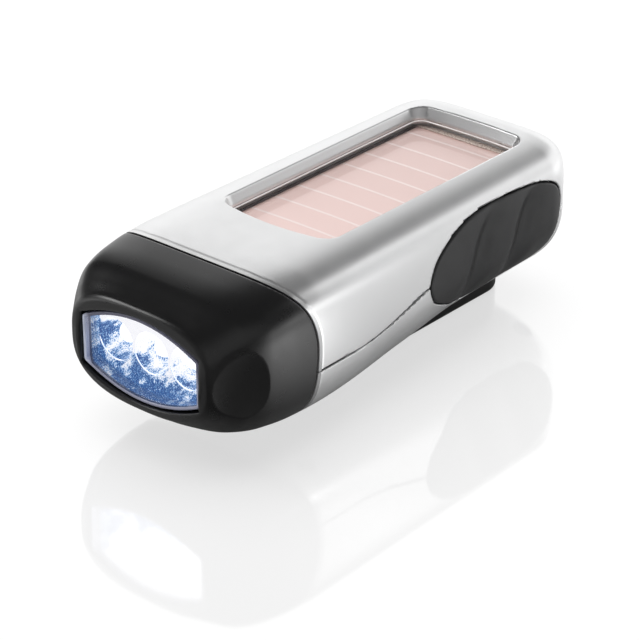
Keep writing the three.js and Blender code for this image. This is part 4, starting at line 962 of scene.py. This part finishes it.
solid("lens_plate", lens_plate, (62.2, -18, 14), (64, 18, 36.2), 0.3, clear, "clear_plastic", "lens")
looks = frosted_rim(), "clear_plastic", "lens"
solid("lens_skirt", lens_skirt, (59.9, -19.3, 13.3), (64, 19.3, 36.8), 0.24, *looks)
looks = reflector_with_painted_glow(), "plated_plastic", "reflector"
solid("reflector_bowls", reflector_field, (49.2, -17.6, 14), (60.8, 17.6, 35.6), 0.27, *looks)
resin, glint = led_resin(), bowl_glint()
for slot, name, cad in (
    (-1, "bowl_edge_far", "led_right"), (0, "bowl_edge_middle", "led_middle"), (1, "bowl_edge_near", "led_left")
):
    centre = (REFLECTOR_FRONT, slot * LED_PITCH, LED_HEIGHT)
    dressed(bead(name, 0.16, math.radians(188), math.radians(300), centre), glint, "plated_plastic")
    lamp = lathe(f"{cad}_dome", led_profile(), (REFLECTOR_BACK, *centre[1:]), 48)
    dressed(lamp, resin, "led_resin", cad)


# Solar window
COVER_LOW, COVER_HIGH, CELL_LOW, CELL_HIGH = 37.7, 39.1, 36.4, 37.4
CELL_PITCH, CELL_FIRST, CELL_BOW, BORDER_TAIL, BORDER_SQUARE = 8.1, 10.0, 2.2, -50.3, -40
# Dark painted shade first, then the brown speckles across the tail.
SPECKLES_AND_PAINTED_SHADE = [
    (0.3, (0.03, 0.016, 0.02)), (0.4, (0.4, 0.3, 0.23)), (0.48, (0.72, 0.62, 0.54)), (0.56, (0.95, 0.88, 0.8)),
]


def cover_outline(x, y):
    return window_outline(x, y) + GAP


def window_plate(low, high, edge):
    """The field of a flat plate that fills the window, with rounded rims."""
    return lambda x, y, z: both(cover_outline(x, y), np.maximum(low - z, z - high), edge)


def border_field(x, y, z):
    """The dark edge of painted shade: even round the front, with square inner corners at the tail."""
    edge = cover_outline(x, y) + 0.05
    square = np.maximum(np.abs(y) - WINDOW_HALF + 1.5, BORDER_TAIL - x)
    ring = np.maximum(edge, -np.where(x < BORDER_SQUARE, square, edge + 1.15))
    return both(ring, np.maximum(CELL_HIGH + 0.03 - z, z - COVER_LOW + 0.04), 0.08)


def bevel_field(x, y, z):
    """The pale edge that shows at the foot of the recess."""
    window = window_outline(x, y)
    ring = np.maximum(window + 1.12, -(window + 1.62))
    return both(ring, np.maximum(COVER_HIGH - 0.02 - z, z - COVER_HIGH - 0.26), 0.08)


def cell_material():
    """Pale pink cell with fine cross lines, slightly bowed and evenly spaced; painted light makes it lighter
    towards the front.
    """
    made, tree, shader = new_material("solar_film", (0.75, 0.6, 0.58), 0.3)
    x, y, z = place_parts(tree)
    step = (x - CELL_FIRST * MM - y * y * CELL_BOW) / (CELL_PITCH * MM)
    line = spread((step - step.math("ROUND")).math("ABSOLUTE"), 0.9, 0.0, 0.02, 0.06)
    cloudy = ramp(noise(tree, 45, 3, (1, 0.5, 1)), [(0.3, (0.99, 0.99, 0.99)), (0.7, (1, 1, 1))])
    # Painted light: the pink turns lighter towards the front.
    pink = ramp(rise(x, -0.05, 0.02), [(0.0, (0.77, 0.57, 0.525)), (1.0, (0.9, 0.675, 0.625))])
    lined = mixed_color(tree, line, mixed_color(tree, 1.0, cloudy, pink, "MULTIPLY"), (0.97, 0.86, 0.83, 1))
    set_up(shader, Base_Color=lined, Roughness=spread(noise(tree, 300, 4), 0.28, 0.31))
    return made


def border_painted_shade():
    """A dark edge of painted shade, speckled brown across the tail end."""
    made, tree, shader = new_material("cell_border_print", (0.03, 0.018, 0.02), 0.45)
    x, y, z = place_parts(tree)
    speckles = noise(tree, 3000, 2) * x.math("LESS_THAN", (BORDER_TAIL + 0.05) * MM)
    # The dark edge is painted shade; the tail end is speckled brown.
    paint = ramp(speckles, SPECKLES_AND_PAINTED_SHADE)
    set_up(shader, Base_Color=paint, Roughness=spread(noise(tree, 900, 3), 0.38, 0.5))
    return made


def window_piece(name, field, low, high, cell, *looks):
    solid(name, field, (-54, -17.2, low), (22.5, 17.2, high), cell, *looks)


cover_paint, cell_paint = clear_material("cover_plastic", (0.99, 0.98, 0.98), 0.02), cell_material()
cover, cell = window_plate(COVER_LOW, COVER_HIGH, 0.2), window_plate(CELL_LOW, CELL_HIGH, 0.1)
window_piece("cover_plate", cover, 37.1, 39.8, 0.4, cover_paint, "clear_plastic", "solar_cover")
window_piece("cell_plate", cell, 35.9, 38, 0.4, cell_paint, "solar_film", "solar_cell")
window_piece("cell_border", border_field, 37.1, 38.1, 0.16, border_painted_shade(), "solar_film")
bevel_paint = grained("bevel_white", (0.9, 0.875, 0.86), 0.35, grain=1500, depth=0.004, varies=0.02, wear=0.04)
window_piece("cover_bevel", bevel_field, 38.9, 39.6, 0.16, bevel_paint, "clear_plastic")


# Crank arm, its screw, hinge and knob
ARM_TAIL, ARM_HALF, HUB_RADIUS, ARM_TOP, ARM_EDGE, ARM_BLEND = -58.0, 8.7, 11.0, 6.6, 1.0, 3.0
SLOT_TAIL, SLOT_FRONT, SLOT_HALF = -53.9, -29.6, 4.3
HINGE_X, HINGE_Z, PIN_RADIUS, PIN_HALF = -50.5, 3.3, 1.05, 6.55
ARM_SCREW_HOLE, ARM_SCREW_SEAT, ARM_SHANK, KEY_RADIUS, KEY_FROM = 3.5, 2.1, 1.05, 3.65, 2.8


def arm_field(x, y, z):
    bar = np.hypot(x - np.clip(x, ARM_TAIL + ARM_HALF, CRANK_X), y) - ARM_HALF
    from_crank = np.hypot(x - CRANK_X, y)
    made = both(either(bar, from_crank - HUB_RADIUS, ARM_BLEND), np.maximum(-z, z - ARM_TOP), ARM_EDGE)
    slot = np.abs(x - (SLOT_TAIL + SLOT_FRONT) / 2) - (SLOT_FRONT - SLOT_TAIL) / 2
    made = less(made, np.maximum(slot, np.abs(y) - SLOT_HALF), 0.35)
    made = less(made, np.maximum(np.hypot(x - HINGE_X, z - HINGE_Z) - PIN_RADIUS, np.abs(y) - PIN_HALF))
    made = less(made, np.maximum(from_crank - ARM_SCREW_HOLE, z - ARM_SCREW_SEAT), 0.2)
    made = less(made, from_crank - ARM_SHANK)
    return less(made, np.maximum(from_crank - KEY_RADIUS, KEY_FROM - z))


looks = black, "black_plastic", "crank_arm"
solid("arm_bar", arm_field, (-58.6, -11.6, -0.6), (19.6, 11.6, 7.2), 0.36, *looks, body="crank")

HEAD_CROWN, CROSS_WIDE, CROSS_SLIM, CROSS_DEEP = 0.55, 0.62, 0.14, 0.55


def cross_head(radius, low, high, at_x, at_y):
    """A screw's pan head that looks down, with its cross recess."""

    def field(x, y, z):
        along, across, height = x - at_x, y - at_y, z - low
        away = np.hypot(along, across)
        made = both(away - radius, np.maximum(HEAD_CROWN * (away / radius) ** 2 - height, z - high), 0.25)
        for a, b in ((along, across), (across, along)):
            bar = np.maximum(np.abs(a) - radius * CROSS_WIDE + 0.55 * height, np.abs(b) - radius * CROSS_SLIM)
            made = less(made, np.maximum(bar, height - radius * CROSS_DEEP), 0.05)
        return made

    return field


steel_worn = grained("screw_steel", (0.56, 0.57, 0.58), 0.3, 1.0, grain=2600, depth=0.006, varies=0.06)
head, low, high = cross_head(3.2, 0.15, 1.95, 8, 0), (4.4, -3.6, -0.2), (11.6, 3.6, 2.3)
solid("arm_screw_head", head, low, high, 0.14, steel_worn, "steel", body="crank")
for place, (at_x, at_y) in enumerate(SCREWS, 1):
    low, high = (at_x - 2.4, at_y - 2.4, 13.1), (at_x + 2.4, at_y + 2.4, 15.1)
    head = cross_head(2.1, 13.35, 14.85, at_x, at_y)
    solid(f"shell_screw_head_{place}", head, low, high, 0.12, steel_worn, "steel")

# The knob lies along x from its hinge; its three grooves are at places along it
KNOB_START, KNOB_LENGTH, KNOB_END, KNOB_RADIUS, KNOB_WAIST, KNOB_BORE = 3.3, 16, 19.3, 3.1, 0.4, 1.45
GROOVES, GROOVE_HALF = (8.3, 11.3, 14.3), 0.42
RIVET = [
    (0, 15.75), (0.6, 15.75), (0.6, 19.75), (2.15, 19.75), (2.4, 19.95), (2.3, 20.35), (1.7, 20.65), (0.9, 20.74),
    (0, 20.75),
]


def knob_profile():
    shape = [
        (KNOB_RADIUS - KNOB_WAIST * math.sin(math.pi * share), KNOB_START + KNOB_LENGTH * share)
        for share in np.linspace(0, 1, 25)
    ]
    shape[0], shape[-1] = (2.8, KNOB_START), (2.8, KNOB_END)
    shape.insert(1, (3.05, 3.5))
    shape.insert(-1, (3.05, 19.1))
    for middle in GROOVES:
        shape = [p for p in shape if abs(p[1] - middle) > 0.45]
        waist = KNOB_RADIUS - KNOB_WAIST * math.sin(math.pi * (middle - KNOB_START) / KNOB_LENGTH)
        for depth, at in ((0, -GROOVE_HALF), (0.12, -0.3), (0.22, 0), (0.12, 0.3), (0, GROOVE_HALF)):
            shape.append((waist - depth, middle + at))
    shape.sort(key=lambda p: p[1])
    return [(KNOB_BORE, KNOB_START)] + shape + [(KNOB_BORE, KNOB_END), (KNOB_BORE, KNOB_START)]


roller = lathe("knob_roller", knob_profile(), (HINGE_X, 0, HINGE_Z))
dressed(roller, black, "black_plastic", "knob_grip", body="knob")
rivet = lathe("knob_rivet_head", RIVET, (HINGE_X, 0, HINGE_Z), 48)
dressed(rivet, steel_worn, "steel", "knob_rivet", body="knob_arm")


# Push button and its spring
BUTTON = [
    (0, 0.78), (1.2, 0.74), (2.4, 0.6), (3.2, 0.42), (3.9, 0.32), (4.3, 0.42), (4.5, 0.75), (4.5, 3.9), (5.8, 3.9),
    (5.8, 4.8), (1.2, 4.8), (1.2, 7.0), (0, 7.0),
]
SPRING_RADIUS, SPRING_WIRE, SPRING_TURNS = 2.6, 0.28, 3


def coil(name, radius, thick, start, end, turns):
    """A spring about the button's axis: its wire's radius is thick and its ends are at start and end."""
    rings = []
    for share in np.linspace(0, 1, 36 * turns + 1):
        along = start + thick + (end - start - 2 * thick) * share
        rings.append(wire_ring((along, 0, MIDDLE), radius, thick, 2 * math.pi * turns * share))
    return swept(name, rings)


press = lathe("button_cap", BUTTON, (TAIL, 0, MIDDLE))
dressed(press, rubber, "grip_rubber", "push_button", body="button")
spring_low, spring_high = (corner[0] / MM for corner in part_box("button_spring"))
spring = coil("button_coil", SPRING_RADIUS, SPRING_WIRE, spring_low, spring_high, SPRING_TURNS)
dressed(spring, steel_worn, "steel", "button_spring")
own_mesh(spring)


# Materials of the solids that stay
def brushed(name, color, roughness):
    made, tree, shader = new_material(name, color, roughness, 1.0)
    streak = noise(tree, 900, 4, (1, 1, 0.08))
    tones = ramp(streak, [(0.3, shade(color, 0.92)), (0.7, shade(color, 1.05))])
    set_up(shader, Base_Color=tones, Roughness=spread(streak, roughness - 0.06, roughness + 0.08))
    bumped(shader, streak, 0.004)
    return made


def wound(name, color):
    made, tree, shader = new_material(name, color, 0.3, 0.9)
    waves = node(tree, "ShaderNodeTexWave", bands_direction="Z", Scale=380.0, Distortion=0.4)
    turns = Signal(set_up(waves, Vector=object_place(tree)).outputs["Fac"])
    set_up(shader, Base_Color=ramp(turns, [(0.2, shade(color, 0.6)), (0.8, shade(color, 1.1))]))
    bumped(shader, turns, 0.06)
    return made


def lacquered_board(name, color):
    made, tree, shader = new_material(name, color, 0.35)
    dark, pale = (*shade(color, 0.8), 1), (*shade(color, 1.7), 1)
    tracks = node(tree, "ShaderNodeTexBrick", Scale=320.0, Mortar_Size=0.03, Vector=object_place(tree))
    set_up(tracks, Color1=(*color, 1), Color2=dark, Mortar=pale)
    set_up(shader, Base_Color=tracks.outputs["Color"], Roughness=spread(noise(tree, 400, 4), 0.28, 0.42))
    bumped(shader, tracks.outputs["Fac"], 0.02)
    return made


SLOT_MATERIALS = {
    "silver_plastic": silver,
    "black_plastic": black,
    "clear_plastic": clear,
    "plated_plastic": brushed("plated_inside", (0.86, 0.87, 0.9), 0.15),
    "led_resin": resin,
    "circuit_board": lacquered_board("board_lacquer", (0.02, 0.12, 0.05)),
    "grip_rubber": rubber,
    "solar_film": cell_paint,
    "nylon": grained("natural_nylon", (0.74, 0.71, 0.62), 0.5, grain=2200, depth=0.02),
    "brass": brushed("turned_brass", (0.62, 0.42, 0.16), 0.28),
    "steel": brushed("plated_steel", (0.5, 0.52, 0.54), 0.3),
    "copper_winding": wound("copper_winding", (0.5, 0.18, 0.06)),
    "magnet": grained("sintered_magnet", (0.09, 0.09, 0.1), 0.45, 0.7, grain=1800, depth=0.04, varies=0.2),
    "cell_sleeve": grained("cell_sleeve", (0.03, 0.22, 0.11), 0.35, grain=1500, depth=0.01),
    "wire_red": grained("wire_red", (0.42, 0.02, 0.015), 0.5, grain=1500, depth=0.02),
    "wire_black": grained("wire_black", (0.02, 0.02, 0.02), 0.5, grain=1500, depth=0.02),
}

for entry in frame["record"]["subparts"]:
    kept = nodes[entry["node"]].data.materials
    kept.clear()
    kept.append(SLOT_MATERIALS[entry["material_slot"]])


# Floor, world, lamp and camera
FLOOR_SIDE, FLOOR_DROP = 4000.0, -0.05
FLOOR_GREY, FLOOR_SEEN_LESS, FLOOR_SEEN_GLOW, FLOOR_GLOSS = 0.86, 0.56, 0.76, 0.15
# What only mirrors see of the floor: spots of painted light, each with its place, strength and reach in metres
PAINTED_LIGHT_SPOTS = ((0.006, 0.084, 2.9, 0.028), (-0.06, 0.165, 3.0, 0.055))


def pale_floor():
    signs = (-1, -1), (1, -1), (1, 1), (-1, 1)
    made = mesh_object("floor", [(a * FLOOR_SIDE, b * FLOOR_SIDE, FLOOR_DROP) for a, b in signs], [range(4)])
    paint, tree, shader = new_material("floor_white", (FLOOR_GREY,) * 3, 0.5)
    tree.nodes.remove(shader)
    path = node(tree, "ShaderNodeLightPath").outputs
    seen, mirrored = Signal(path["Is Camera Ray"]), Signal(path["Is Glossy Ray"])
    x, y, z = place_parts(tree)

    def ahead(across, up, start, end):
        """How far out a place lies in one direction, from 0 at start to 1 at end."""
        return rise(x * across + y * up, start, end)

    # Painted shade that only mirrors see: the floor is darker before the nose and beside the tail.
    painted_shade_before_nose = ahead(0.94, 0.342, 0.045, 0.07) * ahead(0, 1, 0.0, 0.03)
    painted_shade_dim = 1.0 - painted_shade_before_nose * 0.82
    painted_shade_beside_tail = ahead(-1, 0, 0.062, 0.085) * ahead(0, -1, -0.078, -0.06)
    # Painted light that only mirrors see: the floor is brighter behind the object, to the near side and in the
    # spots.
    glow = ahead(-0.76, -0.65, 0.04, 0.1) * 0.65 + 0.06
    glow = glow + ahead(0, 1, 0.036, 0.062) * (0.4 - painted_shade_beside_tail * 0.34)
    for at_x, at_y, strength, reach in PAINTED_LIGHT_SPOTS:
        away = vector_math("DISTANCE", object_place(tree), (at_x, at_y, 0.0))
        glow = glow + spread(away, strength, 0.0, 0.0, reach)
    light = node(tree, "ShaderNodeEmission", Strength=glow * mirrored * painted_shade_dim + seen * FLOOR_SEEN_GLOW)
    grey = FLOOR_GREY - seen * FLOOR_SEEN_LESS - mirrored * (FLOOR_GREY - painted_shade_dim * 0.34)
    matt = node(tree, "ShaderNodeBsdfDiffuse", Color=grey * spread(noise(tree, 3, 2), 0.99, 1.0))
    lit = feed_in_order(node(tree, "ShaderNodeAddShader"), light.outputs[0], matt.outputs[0])
    gloss = node(tree, "ShaderNodeBsdfGlossy", Roughness=0.06, Color=(1, 1, 1, 1))
    mixed_surface(tree, seen * FLOOR_GLOSS, lit, gloss)
    made.data.materials.append(paint)


def facing(degrees):
    return math.cos(math.radians(degrees)), math.sin(math.radians(degrees)), 0


UP, DOWN, CREST = (0, 0, 1), (0, 0, -1), (0.444, -0.711, 0.545)


def plain_world():
    """White where the camera sees it, and soft pale fields in some directions for what the object mirrors."""
    world = bpy.data.worlds.new("studio")
    bpy.context.scene.world = world
    world.use_nodes = True
    tree = world.node_tree
    place = node(tree, "ShaderNodeTexCoord").outputs["Generated"]
    heading = vector_math("NORMALIZE", vector_math("MULTIPLY", place, (1, 1, 0)))

    def along(direction, start, end, source=place):
        """How far a direction is met, from 0 at start to 1 at end, as cosines."""
        return rise(vector_math("DOT_PRODUCT", source, direction), start, end, "SMOOTHSTEP")

    light = along(DOWN, -0.72, -0.45) * along(facing(187), 0.52, 0.66, heading) * 1.08 + 0.07
    light = light + along(facing(-50), 0.94, 0.9945) * 1.2 + along(CREST, 0.97, 0.995) * 5.5
    light = light + along(facing(-35), 0.707, 0.906) * along(DOWN, -0.5, -0.2) * 0.22
    light = light + along(facing(60), 0.4, 0.85) * along(UP, 0.0, 0.05) * 0.28
    seen = node(tree, "ShaderNodeLightPath").outputs["Is Camera Ray"]
    strength = node(tree, "ShaderNodeMix", data_type="FLOAT", Factor=seen, A=light, B=1.0)
    set_up(tree.nodes["Background"], Strength=strength.outputs["Result"], Color=(1, 1, 1, 1))


def placed(name, data, place, direction):
    made = bpy.data.objects.new(name, data)
    made.location = place
    made.rotation_euler = direction.to_track_quat("-Z", "Y").to_euler()
    bpy.context.scene.collection.objects.link(made)
    return made


def top_light():
    data = bpy.data.lights.new("top_light", "AREA")
    data.shape, data.size, data.energy = "DISK", 1.6, 13.0
    place = Vector((0.05, -0.1, 1.1))
    placed("top_light", data, place, Vector((0, 0, 0.02)) - place).visible_glossy = False


def camera():
    data = bpy.data.cameras.new("camera")
    data.lens, data.sensor_width, data.clip_start, data.clip_end = 153.9, 36, 0.01, 20
    place = Vector((432.92, 366.47, 305.38)) * MM
    bpy.context.scene.camera = placed("camera", data, place, Vector((-0.674, -0.576, -0.463)))


pale_floor()
plain_world()
top_light()
camera()
bpy.context.scene.view_settings.view_transform = "Standard"
